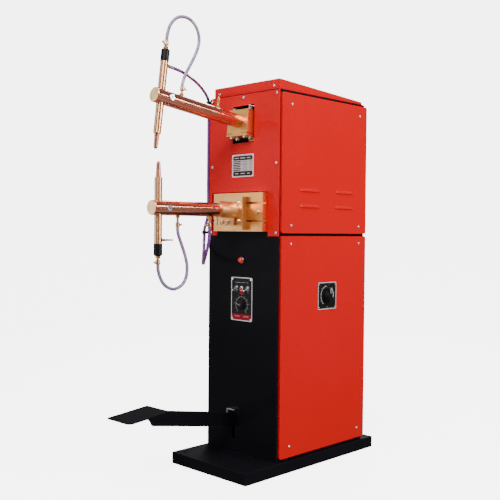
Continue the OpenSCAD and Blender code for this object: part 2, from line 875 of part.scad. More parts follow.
module lower_arm() {
    front = -lower_reach - arm_end;
    color(copper) difference() {
        union() {
            bar_y(arm_r, front + 1.5, lower_arm_rear, 0, lower_arm_z);
            translate([0, front, lower_arm_z]) rotate([-90, 0, 0])
                cylinder(r1 = arm_r - 1.5, r2 = arm_r, h = 1.5);
        }
        bar_z(holder_r + run_gap, 800, 1000, 0, -lower_reach);
        bar_x(5 + still_gap, 10, 40, -lower_reach + screw_back, lower_arm_z);
        for (y = lower_nipple_y) {
            bar_z(nipple_shank_r + still_gap, lower_arm_z - 40, lower_arm_z - 12, 0, y);
        }
    }
}

module lower_clamp_screw() {
    color(zinc) clamp_screw(-lower_reach + screw_back, lower_arm_z);
}

// Cross screw that locks a holder in its arm, with a hexagon socket
module clamp_screw(y, z) {
    difference() {
        union() {
            bar_x(5, 12, arm_r + 1, y, z);
            bar_x(9.5, arm_r + 0.05, arm_r + 7, y, z);
        }
        translate([arm_r + 3, y, z]) rotate([0, 90, 0]) hex_head(6, 10);
    }
}

// Hose nipple along +Z from an arm's surface: thread, hexagon, barb and hose clip
module arm_nipple(hose_end, clip) {
    translate([0, 0, arm_r - 10]) cylinder(r = nipple_shank_r, h = 20);
    translate([0, 0, arm_r + 0.2]) hex_head(12, 7);
    translate([0, 0, arm_r + 6]) cylinder(r = 4.4, h = hose_end - arm_r - 6);
    if (clip) {
        difference() {
            translate([0, 0, hose_end - 13]) cylinder(r = 7.5, h = 12);
            translate([0, 0, hose_end - 14]) cylinder(r = 4.2, h = 14);
        }
        translate([0, 6, hose_end - 7]) rotate([-90, 0, 0]) cylinder(r = 3.2, h = 12);
    }
}

module lower_arm_fittings() {
    color(brass) {
        translate([0, lower_nipple_y[0], lower_arm_z]) mirror([0, 0, 1])
            arm_nipple(lower_arm_z - 843, true);
        translate([0, lower_nipple_y[1], lower_arm_z]) mirror([0, 0, 1]) mirror([0, 1, 0])
            arm_nipple(lower_arm_z - 843, true);
    }
}

// --- Electrodes, tip up, arm's axis at the origin -------------------------------------

module holder_tube(tip_side) {
    difference() {
        translate([0, 0, -cap_side]) cylinder(r = holder_r, h = cap_side + tip_side);
        translate([0, 0, tip_side - 20]) cylinder(r = tip_shank_r + still_gap, h = 21);
        translate([0, holder_r - 8, -side_nipple_z]) rotate([-90, 0, 0])
            cylinder(r = nipple_shank_r + still_gap, h = 20);
        translate([0, 0, -cap_side - 1]) cylinder(r = nipple_shank_r + still_gap, h = 9);
    }
}

module holder_cap() {
    translate([0, 0, -cap_side - 0.05]) mirror([0, 0, 1]) difference() {
        rotate_extrude() {
            square([cap_r, cap_len - 5]);
            square([cap_r - 5, cap_len]);
            translate([cap_r - 5, cap_len - 5]) intersection() {
                circle(r = 5);
                square(5);
            }
        }
        translate([0, 0, -1]) cylinder(r = nipple_shank_r + still_gap, h = cap_len + 2);
    }
}

module holder_tip(tip_side) {
    translate([0, 0, tip_side - 18]) cylinder(r = tip_shank_r, h = 18.1);
    translate([0, 0, tip_side + 0.05]) cylinder(r1 = tip_base_r, r2 = tip_end_r, h = tip_cone_h);
    translate([0, 0, tip_side + tip_cone_h]) sphere(r = tip_end_r);
}

// Water fittings of a holder: tail stem with its hose clip, and the side nipple
module holder_fittings(side_end) {
    translate([0, 0, -tail_fitting_end]) {
        cylinder(r = nipple_shank_r, h = tail_fitting_end - cap_side + 7);
        translate([0, 0, tail_fitting_end - cap_side - cap_len - 8.2]) hex_head(14, 8);
        difference() {
            translate([0, 0, 1]) cylinder(r = 8.5, h = 13);
            translate([0, 0, 0]) cylinder(r = nipple_shank_r - 0.1, h = 15);
        }
        translate([0, -7, 7.5]) rotate([90, 0, 0]) cylinder(r = 3.5, h = 9);
    }
    translate([0, 0, -side_nipple_z]) rotate([-90, 0, 0]) {
        translate([0, 0, holder_r - 7]) cylinder(r = nipple_shank_r, h = 10);
        translate([0, 0, holder_r + 0.3]) hex_head(11, 5);
        translate([0, 0, holder_r + 5]) cylinder(r1 = 4.4, r2 = 2.6, h = side_end - holder_r - 5);
    }
}

module lower_holder() {
    color(copper) on_lower_electrode() holder_tube(lower_tip_side);
}

module lower_cap() {
    color(bakelite) on_lower_electrode() holder_cap();
}

module lower_tip() {
    color(copper) on_lower_electrode() holder_tip(lower_tip_side);
}

module lower_holder_fittings() {
    color(brass) on_lower_electrode() holder_fittings(lower_side_end);
}

module upper_holder() {
    color(copper) on_upper_electrode() holder_tube(upper_tip_side);
}

module upper_cap() {
    color(bakelite) on_upper_electrode() holder_cap();
}

module upper_tip() {
    color(copper) on_upper_electrode() holder_tip(upper_tip_side);
}

module upper_holder_fittings() {
    color(brass) on_upper_electrode() holder_fittings(upper_side_end);
}

// --- Rocker ---------------------------------------------------------------------------

module upper_arm() {
    front = -upper_reach - arm_end;
    color(copper) on_rocker() difference() {
        union() {
            bar_y(arm_r, front + 1.5, arm_rear_rocker, 0, -arm_drop);
            translate([0, front, -arm_drop]) rotate([-90, 0, 0])
                cylinder(r1 = arm_r - 1.5, r2 = arm_r, h = 1.5);
        }
        bar_z(holder_r + run_gap, -arm_drop - 60, -arm_drop + 60, 0, -upper_reach);
        bar_x(5 + still_gap, 10, 40, -upper_reach + screw_back, -arm_drop);
        for (y = upper_nipple_y) {
            bar_z(nipple_shank_r + still_gap, -arm_drop + 12, -arm_drop + 40, 0, y);
        }
    }
}

module upper_arm_fittings() {
    color(brass) on_rocker() {
        translate([0, upper_nipple_y[0], -arm_drop]) arm_nipple(55, true);
        translate([0, upper_nipple_y[1], -arm_drop]) arm_nipple(62, false);
    }
}

module arm_clamp_block() {
    color(brass) on_rocker() difference() {
        block([-block_half_w, block_front, block_bottom], [block_half_w, block_rear, block_top]);
        bar_y(arm_r + run_gap, block_front - 1, block_rear + 1, 0, -arm_drop);
        block([-arm_r - run_gap, block_front - 1, block_bottom - 1],
            [arm_r + run_gap, block_rear + 1, -arm_drop]);
        for (x = [-clamp_bolt_x, clamp_bolt_x], y = clamp_bolt_y) {
            bar_z(4 + still_gap, block_bottom - 1, -72, x, y);
        }
        for (x = [-top_bolt_x, top_bolt_x]) {
            bar_z(4 + still_gap, block_top - 22, block_top + 1, x, top_bolt_y);
        }
    }
}

module arm_clamp_cap() {
    saddle_half_w = arm_r - 0.3;
    color(brass) on_rocker() difference() {
        union() {
            block([-block_half_w, block_front, cap_bar_bottom], [block_half_w, block_rear, cap_bar_top]);
            block([-saddle_half_w, block_front, cap_bar_top - 1],
                [saddle_half_w, block_rear, -arm_drop - 12]);
        }
        bar_y(arm_r + run_gap, block_front - 1, block_rear + 1, 0, -arm_drop);
        for (x = [-clamp_bolt_x, clamp_bolt_x], y = clamp_bolt_y) {
            bar_z(4.3, cap_bar_bottom - 1, cap_bar_top + 1, x, y);
        }
    }
}

module arm_clamp_bolts() {
    color(zinc) on_rocker() {
        for (x = [-clamp_bolt_x, clamp_bolt_x], y = clamp_bolt_y) {
            bar_z(4, cap_bar_bottom - 2, -74, x, y);
            translate([x, y, cap_bar_bottom - 0.1]) mirror([0, 0, 1]) hex_head(13, 6);
        }
        for (x = [-top_bolt_x, top_bolt_x]) {
            bar_z(4, block_top - 20, block_top + 2, x, top_bolt_y);
            bar_z(9, block_top + 0.1, block_top + 2, x, top_bolt_y);
            translate([x, top_bolt_y, block_top + 1.9]) hex_head(13, 8);
        }
        clamp_screw(-upper_reach + screw_back, -arm_drop);
    }
}

boss_r = 36;
boss_half_w = 38;
bush_r = 18;
web_half_w = 14;

module rocker_lever() {
    color(dark_steel) on_rocker() difference() {
        union() {
            block([-block_half_w, block_rear + 0.2, block_bottom], [block_half_w, -45, -5]);
            translate([-web_half_w, 0, 0]) rotate([90, 0, 90]) linear_extrude(2 * web_half_w)
                polygon([[-46, -98], [-46, -8], [-10, 34], [20, 34], [150, 16], [284, 12],
                    [284, -12], [150, -22], [20, -34], [-14, -34]]);
            bar_x(boss_r, -boss_half_w, boss_half_w, 0, 0);
            block([pedal_x - 20, tail_reach - 24, -12], [web_half_w, tail_reach + 24, 12]);
        }
        bar_x(bush_r + still_gap, -boss_half_w - 1, boss_half_w + 1, 0, 0);
        for (y = [-4, 4]) bar_z(rod_r + 1.5, -20, 20, pedal_x, tail_reach + y);
        block([pedal_x - rod_r - 1.5, tail_reach - 4, -20], [pedal_x + rod_r + 1.5, tail_reach + 4, 20]);
    }
}

// Two flanged bronze bushes in the rocker's boss
module rocker_bushes() {
    color(brass) on_rocker() for (side = [-1, 1]) scale([side, 1, 1]) difference() {
        union() {
            bar_x(bush_r, 8, boss_half_w + 1, 0, 0);
            bar_x(bush_r + 5, boss_half_w + 0.1, boss_half_w + 2.5, 0, 0);
        }
        bar_x(shaft_d / 2 + run_gap, 0, boss_half_w + 4, 0, 0);
    }
}

// --- Pedal and push rod ---------------------------------------------------------------

module foot_pedal() {
    hub_half_w = 12;
    color(black) on_pedal() difference() {
        union() {
            translate([-lever_t / 2, 0, 0]) rotate([90, 0, 90]) linear_extrude(lever_t)
                polygon([[pedal_front_bottom, -lever_h / 2], [-586, -11], [-606, 0.5],
                    [plate_back, lever_h / 2 - 1], [plate_back + 1, lever_h / 2], [0, lever_h / 2],
                    [40, tail_h / 2], [pedal_tail, tail_h / 2], [pedal_tail, -tail_h / 2],
                    [40, -tail_h / 2], [0, -lever_h / 2]]);
            bar_x(26, -hub_half_w, hub_half_w, 0, 0);
            // Foot plate with one round front corner
            translate([lever_t / 2, plate_back, lever_h / 2]) rotate([180 + plate_tilt, 0, 0])
                translate([-plate_w, 0, 0]) linear_extrude(plate_gauge) difference() {
                    square([plate_w, plate_len]);
                    translate([plate_w - 18, plate_len - 18]) difference() {
                        square(19);
                        circle(r = 18);
                    }
                }
        }
        bar_x(shaft_d / 2 + run_gap, -hub_half_w - 1, hub_half_w + 1, 0, 0);
        pin_y = (rod_y - pedal_y) / cos(pedal_tilt);
        for (y = [-6, 3]) bar_x(6.6, -lever_t, lever_t, pin_y + y, 0);
        block([-lever_t, pin_y - 6, -6.6], [lever_t, pin_y + 3, 6.6]);
    }
}

module pedal_guard() {
    color(zinc) difference() {
        union() {
            block([pedal_x - 20, front_face - 14, 176], [pedal_x + 20, front_face - still_gap, 196]);
            bar_y(2, front_face - 14, front_face - 1, pedal_x, 197);
        }
        block([pedal_x - 16, front_face - 15, 170], [pedal_x + 16, front_face - 3, 192]);
        block([pedal_x - 10, front_face - 4, 170], [pedal_x + 10, front_face + 1, 190]);
    }
}

module push_rod() {
    fork_inner = lever_t / 2 + 0.6;
    fork_outer = fork_inner + 7;
    color(dark_steel) {
        translate([pedal_x, rod_y, 0]) {
            difference() {
                block([-fork_outer, -13, rod_pin_z - 14], [fork_outer, 13, rod_pin_z + 38]);
                block([-fork_inner, -14, rod_pin_z - 15], [fork_inner, 14, rod_pin_z + 22]);
            }
            bar_x(6, -fork_outer - 3, fork_outer + 3, 0, rod_pin_z);
            bar_z(rod_r, rod_pin_z + 37, rod_top, 0, 0);
            bar_z(seat_r, return_seat_z, return_seat_z + seat_h, 0, 0);
            bar_z(seat_r, pressure_seat_z, pressure_seat_z + seat_h, 0, 0);
            translate([0, 0, 1241]) hex_head(24, 8);
            translate([0, 0, 1249.5]) hex_head(24, 7);
        }
    }
}

// A helix as a route: turns of radius r from z0 to z1
function helix(r, z0, z1, turns, steps) =
    [for (i = [0:turns * steps]) let (a = 360 * i / steps)
        [r * cos(a), r * sin(a), z0 + (z1 - z0) * i / (turns * steps)]];

// Ring basis for a coil: radial and upward, so that it never twists
module coil(r, wire_r, z0, z1, turns) {
    steps = 10;
    sides = 6;
    path = helix(r, z0 + wire_r, z1 - wire_r, turns, steps);
    rings = [for (p = path) let (out = unit([p[0], p[1], 0]))
        each [for (k = [0:sides - 1])
            p + wire_r * (cos(360 * k / sides) * out + sin(360 * k / sides) * [0, 0, 1])]];
    walls = [for (i = [0:len(path) - 2], k = [0:sides - 1])
        let (a = i * sides + k, b = i * sides + (k + 1) % sides)
        each [[b, a, a + sides], [b, a + sides, b + sides]]];
    near_end = [for (k = [0:sides - 1]) k];
    far_end = [for (k = [sides - 1:-1:0]) (len(path) - 1) * sides + k];
    polyhedron(points = rings, faces = concat(walls, [near_end, far_end]), convexity = 10);
}

module rod_spring(z0, z1) {
    color(dark_steel) translate([pedal_x, rod_y, 0]) coil(13, 2.2, z0 + 0.3, z1 - 0.3, 5);
}

module return_spring() {
    rod_spring(return_seat_z + seat_h, guide_z[0]);
}

module pressure_spring() {
    rod_spring(pressure_seat_z + seat_h, 1208);
}

// --- Water hoses ----------------------------------------------------------------------

// Band clip round a vertical hose with a tab to a plate screw
module p_clip(x, y, z, screw_x) {
    difference() {
        union() {
            bar_z(clip_r, z - 5, z + 5, x, y);
            block([x, front_face - 2, z - 5], [screw_x - 3, front_face - still_gap, z + 5]);
            bar_y(6, front_face - 2, front_face - still_gap, screw_x, z);
            block([x, y - clip_r, z - 5], [x + clip_r, front_face - still_gap, z + 5]);
        }
        bar_z(hose_r + 1.8, z - 7, z + 7, x, y);
        bar_y(screw_shank_r + still_gap, front_face - 3, front_face + 1, screw_x, z);
    }
}

module hose_p_clips() {
    color(bakelite) {
        difference() {
            p_clip(-181.5, -11.5, 1300, -158.5);
            block([-176.8, front_face + 0.1, 1290], [-165, 10, 1310]);
        }
        p_clip(-188, -22, 825, -159);
    }
}

module upper_loop_hose() {
    color(hose_tint) tube(upper_loop_route, 0, len(upper_loop_route) - 1);
}

module lower_loop_hose() {
    color(hose_tint) tube(lower_loop_route, 0, len(lower_loop_route) - 1);
}

module supply_hose_front() {
    color(hose_tint) tube(supply_route, 0, supply_split[0]);
}

module supply_hose_side() {
    color(hose_tint) tube(supply_route, supply_split[0], supply_split[1]);
}

module supply_hose_loop() {
    color(hose_tint) tube(supply_route, supply_split[1], len(supply_route) - 1);
}

// --- Assembly -------------------------------------------------------------------------

base_plinth();
cabinet_frame();
top_cover();
front_plate_upper();
front_panel_lower();
right_upper_cover();
right_lower_cover();
left_upper_cover();
left_lower_cover();
rear_cover();
cover_screws();
rating_plate();
control_plate();
lamp_lenses();
control_bezels();
switchgear();
selector_plate();
tap_switch();
transformer_core();
primary_coils();
secondary_bus();
flexible_shunt();
arm_platen();
arm_sleeve();
lower_mount_bolts();
hose_p_clips();
hinge_shafts();
pedal_guard();
mains_gland();
rocker_lever();
rocker_bushes();
arm_clamp_block();
arm_clamp_cap();
arm_clamp_bolts();
upper_arm();
upper_arm_fittings();
upper_holder();
upper_cap();
upper_tip();
upper_holder_fittings();
lower_arm();
lower_arm_fittings();
lower_clamp_screw();
lower_holder();
lower_cap();
lower_tip();
lower_holder_fittings();
foot_pedal();
push_rod();
pressure_spring();
return_spring();
timer_knob();
selector_knob();
left_toggle();
right_toggle();
upper_loop_hose();
lower_loop_hose();
supply_hose_front();
supply_hose_side();
supply_hose_loop();
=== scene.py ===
"""Pedal-operated spot welder: the looks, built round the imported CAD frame.

Metres, +Z up, the arms point along -Y, and the floor is at Z = 0.
"""

from math import asin, cos, pi, radians, sin, sqrt, tan

import bmesh
import bpy
from mathutils import Matrix, Vector


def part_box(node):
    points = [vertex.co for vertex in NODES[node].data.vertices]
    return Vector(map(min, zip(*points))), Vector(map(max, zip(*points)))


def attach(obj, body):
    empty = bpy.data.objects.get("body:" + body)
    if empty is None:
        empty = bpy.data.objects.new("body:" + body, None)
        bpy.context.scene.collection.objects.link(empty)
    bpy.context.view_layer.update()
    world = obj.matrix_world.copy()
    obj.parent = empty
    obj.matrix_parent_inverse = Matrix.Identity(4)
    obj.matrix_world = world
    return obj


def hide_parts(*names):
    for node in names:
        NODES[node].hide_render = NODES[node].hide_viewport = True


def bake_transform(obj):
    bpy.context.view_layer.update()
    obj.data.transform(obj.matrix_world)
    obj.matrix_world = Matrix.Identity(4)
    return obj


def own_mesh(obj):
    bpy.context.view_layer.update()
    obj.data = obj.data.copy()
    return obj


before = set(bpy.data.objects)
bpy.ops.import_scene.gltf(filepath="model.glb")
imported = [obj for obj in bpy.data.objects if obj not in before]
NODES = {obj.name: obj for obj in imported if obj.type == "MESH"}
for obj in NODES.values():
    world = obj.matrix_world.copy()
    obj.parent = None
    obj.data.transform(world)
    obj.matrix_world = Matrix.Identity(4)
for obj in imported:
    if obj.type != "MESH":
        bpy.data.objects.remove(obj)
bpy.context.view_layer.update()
MM = 0.001

# --- Places from the design, in millimetres and degrees ---

FRONT = -12.04  # the face of the front plates
COVER = 176.04  # the face of a side cover, from the middle
PIVOT = (0, 130, 1255)
ARM_TILT = 7
REACH = 512  # from the pivot to the upper holder, along the tilted arm
ARM_DROP = 61  # from the pivot down to the arm's axis
LOWER_AXIS = (0, -393.5, 903)
UPPER_AXIS = (
    PIVOT[0],
    PIVOT[1] - REACH * cos(radians(ARM_TILT)) - ARM_DROP * sin(radians(ARM_TILT)),
    PIVOT[2] + REACH * sin(radians(ARM_TILT)) - ARM_DROP * cos(radians(ARM_TILT)))
UPPER_NIPPLES_Y = (-428, -264)  # along the tilted arm, from the pivot
LOWER_NIPPLES_Y = (-312, -171)
LOWER_HOSE_Z = 843  # where both hoses end under the lower arm
ROD = (-38, 390.05)
PEDAL_PIVOT = (-38, 190, 120)
PEDAL_TILT = -9.9
PILOT_LAMP = (-4, 728)  # places on the front are X and Z, and those on a side are Y and Z
WELD_LAMP = (0, 627)
TOGGLES_X = (-24, 31)
TOGGLES_Z = 629
TOGGLES_Y = -17
TIMER = (0, 570)
CONTROL_PLATE = (0, 590)
RATING_PLATE = (0, 1061.5)
HEAT_SELECTOR = (247.5, 600)
PLATE = 1.5  # the gauge of the control and selector plates



def linked(name, data):
    """A new object in the scene."""
    obj = bpy.data.objects.new(name, data)
    bpy.context.scene.collection.objects.link(obj)
    return obj


# --- Camera ---

EYE = Vector((1.971, -1.994, 0.831))
AZIMUTH, TILT, ROLL = (radians(a) for a in (44.28, 1.37, 0.515))
FOCAL_LENGTH, SENSOR = 56.93, 36


def make_camera():
    """A camera at the photograph's place, looking slightly down at the front right edge."""
    forward = Vector((-sin(AZIMUTH) * cos(TILT), cos(AZIMUTH) * cos(TILT), -sin(TILT)))
    right = forward.cross(Vector((0, 0, 1))).normalized()
    up = right.cross(forward)
    side = right * cos(ROLL) + up * sin(ROLL)
    top = up * cos(ROLL) - right * sin(ROLL)
    data = bpy.data.cameras.new("camera")
    data.lens = FOCAL_LENGTH
    data.sensor_width = SENSOR
    camera = linked("camera", data)
    camera.matrix_world = Matrix.Translation(EYE) @ Matrix((side, top, -forward)).transposed().to_4x4()
    bpy.context.scene.camera = camera


make_camera()

# --- Mesh tools ---

POLE = 1e-7  # a radius under this is a single point


def shift(x=0, y=0, z=0):
    return Matrix.Translation((x, y, z))


def spin(degrees, axis="Z"):
    return Matrix.Rotation(radians(degrees), 4, axis)


def around(count):
    """Equally spaced angles round a circle."""
    return [2 * pi * k / count for k in range(count)]


def polar(radius, angle):
    return radius * cos(angle), radius * sin(angle)


def place(at, z_axis=(0, 0, 1), x_axis=None):
    """A frame at a point whose Z runs along z_axis."""
    z = Vector(z_axis).normalized()
    spare = (1, 0, 0) if abs(z.x) < 0.9 else (0, 1, 0)
    y = z.cross(Vector(x_axis or spare)).normalized()
    x = y.cross(z)
    return Matrix.Translation(Vector(at)) @ Matrix((x, y, z)).transposed().to_4x4()


def lathe(bm, profile, at=Matrix(), segments=32, material=0, flutes=0, depth=0.0, ring=False):
    """Turns a profile of (radius, height) points about the frame's Z.

    Flutes scallop the outside. A ring's profile closes on itself and leaves a hole.
    """
    rings = []
    for radius, height in profile:
        if radius < POLE:
            rings.append([bm.verts.new(at @ Vector((0, 0, height)))])
            continue
        outline = [polar(radius - (depth * (0.5 + 0.5 * cos(flutes * a)) if flutes else 0.0), a)
                   for a in around(segments)]
        rings.append([bm.verts.new(at @ Vector((x, y, height))) for x, y in outline])
    skin(bm, rings, material, ring)


def loft(bm, rows, at=Matrix(), material=0, ring=False):
    """Joins outlines of (x, y) points, each at its own height, and caps both ends."""
    rings = [[bm.verts.new(at @ Vector((x, y, height))) for x, y in outline] for outline, height in rows]
    skin(bm, rings, material, ring)


def skin(bm, rings, material, closed):
    """Covers rings of vertices, with caps, or with the last ring joined to the first."""
    if closed:
        walls(bm, rings + rings[:1], material)
    else:
        walls(bm, rings, material)
        caps(bm, rings, material)


def walls(bm, rings, material=0):
    """Faces between one ring of vertices and the next, where a single vertex is a point."""
    for low, high in zip(rings, rings[1:]):
        for k in range(max(len(low), len(high))):
            around_face = ((low, k), (low, k + 1), (high, k + 1), (high, k))
            unique = list(dict.fromkeys(row[j % len(row)] for row, j in around_face))
            if len(unique) > 2:
                bm.faces.new(unique).material_index = material


def caps(bm, rings, material=0):
    """Faces over the first ring and the last."""
    for ring in (list(reversed(rings[0])), rings[-1]):
        if len(ring) > 2:
            bm.faces.new(ring).material_index = material


def prism(bm, outline, low, high, at=Matrix(), material=0):
    """Extrudes an outline between two heights of the frame."""
    loft(bm, [(outline, low), (outline, high)], at, material)


def rounded(width, height, radius, steps=6, centre=(0, 0)):
    """The outline of a rectangle with round corners."""
    points = []
    for corner, (sx, sy) in enumerate(((1, 1), (-1, 1), (-1, -1), (1, -1))):
        middle_x = centre[0] + sx * (width / 2 - radius)
        middle_y = centre[1] + sy * (height / 2 - radius)
        for k in range(steps + 1):
            x, y = polar(radius, pi / 2 * (corner + k / steps))
            points.append((middle_x + x, middle_y + y))
    return points


def polygon(sides, radius):
    """A regular outline."""
    return [polar(radius, a) for a in around(sides)]


def mesh_of(name, bm):
    """The finished mesh, with its faces turned outwards."""
    bmesh.ops.recalc_face_normals(bm, faces=bm.faces)
    mesh = bpy.data.meshes.new(name)
    bm.to_mesh(mesh)
    bm.free()
    return mesh


def finish_mesh(name, bm, materials, smooth=35, soften=0.0):
    """Makes an object of a mesh, with smooth faces, sharp edges and a small bevel."""
    mesh = mesh_of(name, bm)
    for material in materials:
        mesh.materials.append(material)
    mesh.shade_smooth()
    mesh.set_sharp_from_angle(angle=radians(smooth))
    obj = linked(name, mesh)
    if soften:
        add_bevel(obj, soften)
    return obj


def add_bevel(obj, width):
    """Rounds the sharp edges, as deburring and paint do."""
    bevel = obj.modifiers.new("edges", "BEVEL")
    bevel.width = width
    bevel.segments = 2
    bevel.limit_method = "ANGLE"
    bevel.angle_limit = radians(40)
    bevel.harden_normals = True


def ship(obj, body, slot, *nodes):
    """Puts a finished piece on its body, in the place of the CAD nodes that it stands for."""
    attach(obj, body)
    if nodes:
        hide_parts(*nodes)
    return obj


# --- Materials ---

AXES = {"X": Vector((1, 0, 0)), "Y": Vector((0, 1, 0)), "Z": Vector((0, 0, 1))}
MIX_A, MIX_B, MIX_RESULT = 6, 7, 2  # the colour sockets of a mix node
RING_PITCH = 300


class Finish:
    """A procedural material: one Principled shader with noise, bands, bumps, and lighter edges, worn on metal
    and plastic and a painted highlight on enamel.
    """

    def __init__(self, name, color, roughness, metallic=0.0, **sockets):
        self.material = bpy.data.materials.new(name)
        self.material.use_nodes = True
        self.tree = self.material.node_tree
        self.shader = self.tree.nodes["Principled BSDF"]
        self.color = color
        self.set("Base Color", (*color, 1))
        self.set("Roughness", roughness)
        self.set("Metallic", metallic)
        for socket, value in sockets.items():
            self.set(socket.replace("_", " "), value)

    def set(self, name, value):
        """Feeds a socket of the shader."""
        self.feed(self.shader.inputs[name], value)

    def source(self, name):
        """The output that feeds a socket of the shader, if one does."""
        links = self.shader.inputs[name].links
        return links[0].from_socket if links else None

    def feed(self, socket, value):
        """Links another node's output to a socket, or gives the socket a value of its own."""
        if isinstance(value, bpy.types.NodeSocket):
            self.tree.links.new(value, socket)
        else:
            socket.default_value = value

    def node(self, kind, **inputs):
        made = self.tree.nodes.new("ShaderNode" + kind)
        for name, value in inputs.items():
            self.feed(made.inputs[name.replace("_", " ")], value)
        return made

    def vector(self, operation, first, second=(0, 0, 0), result="Vector"):
        """One step of vector arithmetic."""
        made = self.node("VectorMath")
        made.operation = operation
        self.feed(made.inputs[0], first)
        self.feed(made.inputs[1], second)
        return made.outputs[result]

    def coords(self):
        return self.node("TexCoord").outputs["Object"]

    def face_normal(self):
        return self.node("NewGeometry").outputs["Normal"]

    def local(self, origin, turn):
        """Object coordinates measured from a point, along turned axes."""
        made = self.node("Mapping", Vector=self.coords(), Location=origin, Rotation=turn)
        made.vector_type = "TEXTURE"
        return made.outputs["Vector"]

    def noise(self, scale, detail=3.0, stretch=(1, 1, 1)):
        coords = self.node("Mapping", Vector=self.coords(), Scale=stretch).outputs["Vector"]
        return self.node("TexNoise", Vector=coords, Scale=scale, Detail=detail).outputs["Fac"]

    def span(self, value, low, high, start=0.35, end=0.65):
        """Maps start to end onto low to high, and holds it there."""
        made = self.node("MapRange", Value=value, From_Min=start, From_Max=end,
                         To_Min=low, To_Max=high)
        return made.outputs["Result"]

    def mix(self, factor, first, second):
        """Blends a colour socket or (r, g, b) with another."""
        made = self.node("Mix", Factor=factor)
        made.data_type = "RGBA"
        for index, value in ((MIX_A, first), (MIX_B, second)):
            self.feed(made.inputs[index], (*value, 1) if isinstance(value, tuple) else value)
        return made.outputs[MIX_RESULT]

    def tint(self, fac, other, low=0.35, high=0.65, amount=1.0):
        """Blends the colour so far towards another where fac is high."""
        current = self.source("Base Color") or self.color
        self.set("Base Color", self.mix(self.span(fac, 0.0, amount, low, high), current, other))

    def rough(self, fac, low, high):
        self.set("Roughness", self.span(fac, low, high))

    def bump(self, fac, depth, strength=1.0):
        made = self.node("Bump", Height=fac, Distance=depth, Strength=strength)
        if self.source("Normal"):
            self.feed(made.inputs["Normal"], self.source("Normal"))
        self.set("Normal", made.outputs["Normal"])

    def wear(self, radius, gain, lift=0.0):
        """Lightens the colour at sharp edges: rubbed metal and plastic, and a painted highlight on the
        rounded bends of enamel.
        """
        bevel = self.node("Bevel", Radius=radius)
        bevel.samples = 4
        match = self.vector("DOT_PRODUCT", bevel.outputs["Normal"], self.face_normal(), "Value")
        edges = self.span(match, 1.0, 0.0, 0.86, 0.995)
        self.tint(edges, tuple(min(1, c * gain + lift) for c in self.color), 0.1, 1.0, 0.5)

    def grooves(self, origin, axis):
        """Fine grooves round an axis, which draw each highlight out across them."""
        away = self.vector("SUBTRACT", self.coords(), origin)
        along = self.node("VectorTransform", Vector=self.vector("CROSS_PRODUCT", away, axis))
        along.convert_from = "OBJECT"
        along.convert_to = "WORLD"
        along.vector_type = "VECTOR"
        self.set("Tangent", self.vector("CROSS_PRODUCT", self.face_normal(), along.outputs["Vector"]))
        self.set("Anisotropic", 0.9)

    def height(self, low, high):
        """Rises from 0 to 1 between two places along Z."""
        z = self.node("SeparateXYZ", Vector=self.coords()).outputs["Z"]
        return self.span(z, 0.0, 1.0, low, high)


def enamel(name, color, dark, roughness, specular=0.08):
    """Gloss enamel: orange peel, faint clouding, and edges lightened as a painted highlight on the rounded
    bends.
    """
    f = Finish(name, color, roughness, Coat_Weight=0.03, Coat_Roughness=0.15, Specular_IOR_Level=specular)
    f.tint(f.noise(3.0, 4), dark, 0.3, 0.8, 0.4)
    f.rough(f.noise(14, 5), roughness * 0.85, roughness * 1.25)
    # painted highlight: the edges are lightened towards a paler red to stand in for light caught on the
    # covers' rounded bends
    f.wear(0.002, 1.2, 0.03)
    f.bump(f.noise(420, 2), 0.00012, 0.35)
    f.bump(f.noise(60, 2), 0.0004, 0.12)
    return f.material


def turned(name, color, dark, axis, origin, tilt=0.0, roughness=0.15):
    """Bar turned on a lathe: fine rings, soft stains, long highlights, and a painted highlight that makes the
    front end paler.

    The bar's axis runs through origin, in millimetres, and the bar is tilted about X in degrees.
    """
    f = Finish(name, color, roughness, 1.0)
    start = Vector(origin) * MM
    parts = f.node("SeparateXYZ", Vector=f.local(start, (radians(tilt), 0, 0))).outputs
    others = [parts[letter] for letter in "XYZ" if letter != axis]
    across = f.node("CombineXYZ", X=others[0], Y=others[1]).outputs["Vector"]
    away = f.vector("LENGTH", across, result="Value")
    line = f.node("CombineXYZ", X=parts[axis], Y=away).outputs["Vector"]
    rings = f.node("TexNoise", Vector=line, Scale=RING_PITCH, Detail=3.0).outputs["Fac"]
    f.tint(rings, dark, 0.35, 0.75, 0.06)
    f.tint(f.noise(9, 1), dark, 0.5, 0.9, 0.3)
    f.rough(f.noise(9, 1), roughness * 0.93, roughness * 1.1)
    along = Matrix.Rotation(radians(tilt), 3, "X") @ AXES[axis]
    facing = f.vector("DOT_PRODUCT", f.node("TexCoord").outputs["Normal"], along, "Value")
    # painted highlight: the end face pointing back along the axis is tinted pale gold to stand in for the
    # light it catches
    f.tint(f.span(facing, 1.0, 0.0, -0.98, -0.9), END_FACE_HIGHLIGHT, 0.1, 0.9)
    f.grooves(start, along)
    return f.material


def milled(name, color, dark, roughness=0.3, metallic=1.0, grain=(30, 4, 500)):
    """Machined or brushed faces with a straight grain, dulled in patches."""
    f = Finish(name, color, roughness, metallic)
    f.tint(f.noise(1.0, 4, grain), dark, 0.35, 0.75, 0.14)
    f.tint(f.noise(22, 4), dark, 0.5, 0.85, 0.25)
    f.rough(f.noise(1.0, 3, grain), roughness * 0.8, roughness * 1.3)
    f.wear(0.001, 1.25)
    f.bump(f.noise(1.0, 2, grain), 0.00006, 0.25)
    return f.material


def moulded(name, color, roughness=0.35):
    """Moulded plastic with a fine grain and rubbed corners."""
    f = Finish(name, color, roughness, 0.0, Specular_IOR_Level=0.18)
    f.rough(f.noise(30, 4), roughness * 0.8, roughness * 1.3)
    f.wear(0.0008, 1.6, 0.03)
    f.bump(f.noise(900, 2), 0.00006, 0.4)
    return f.material


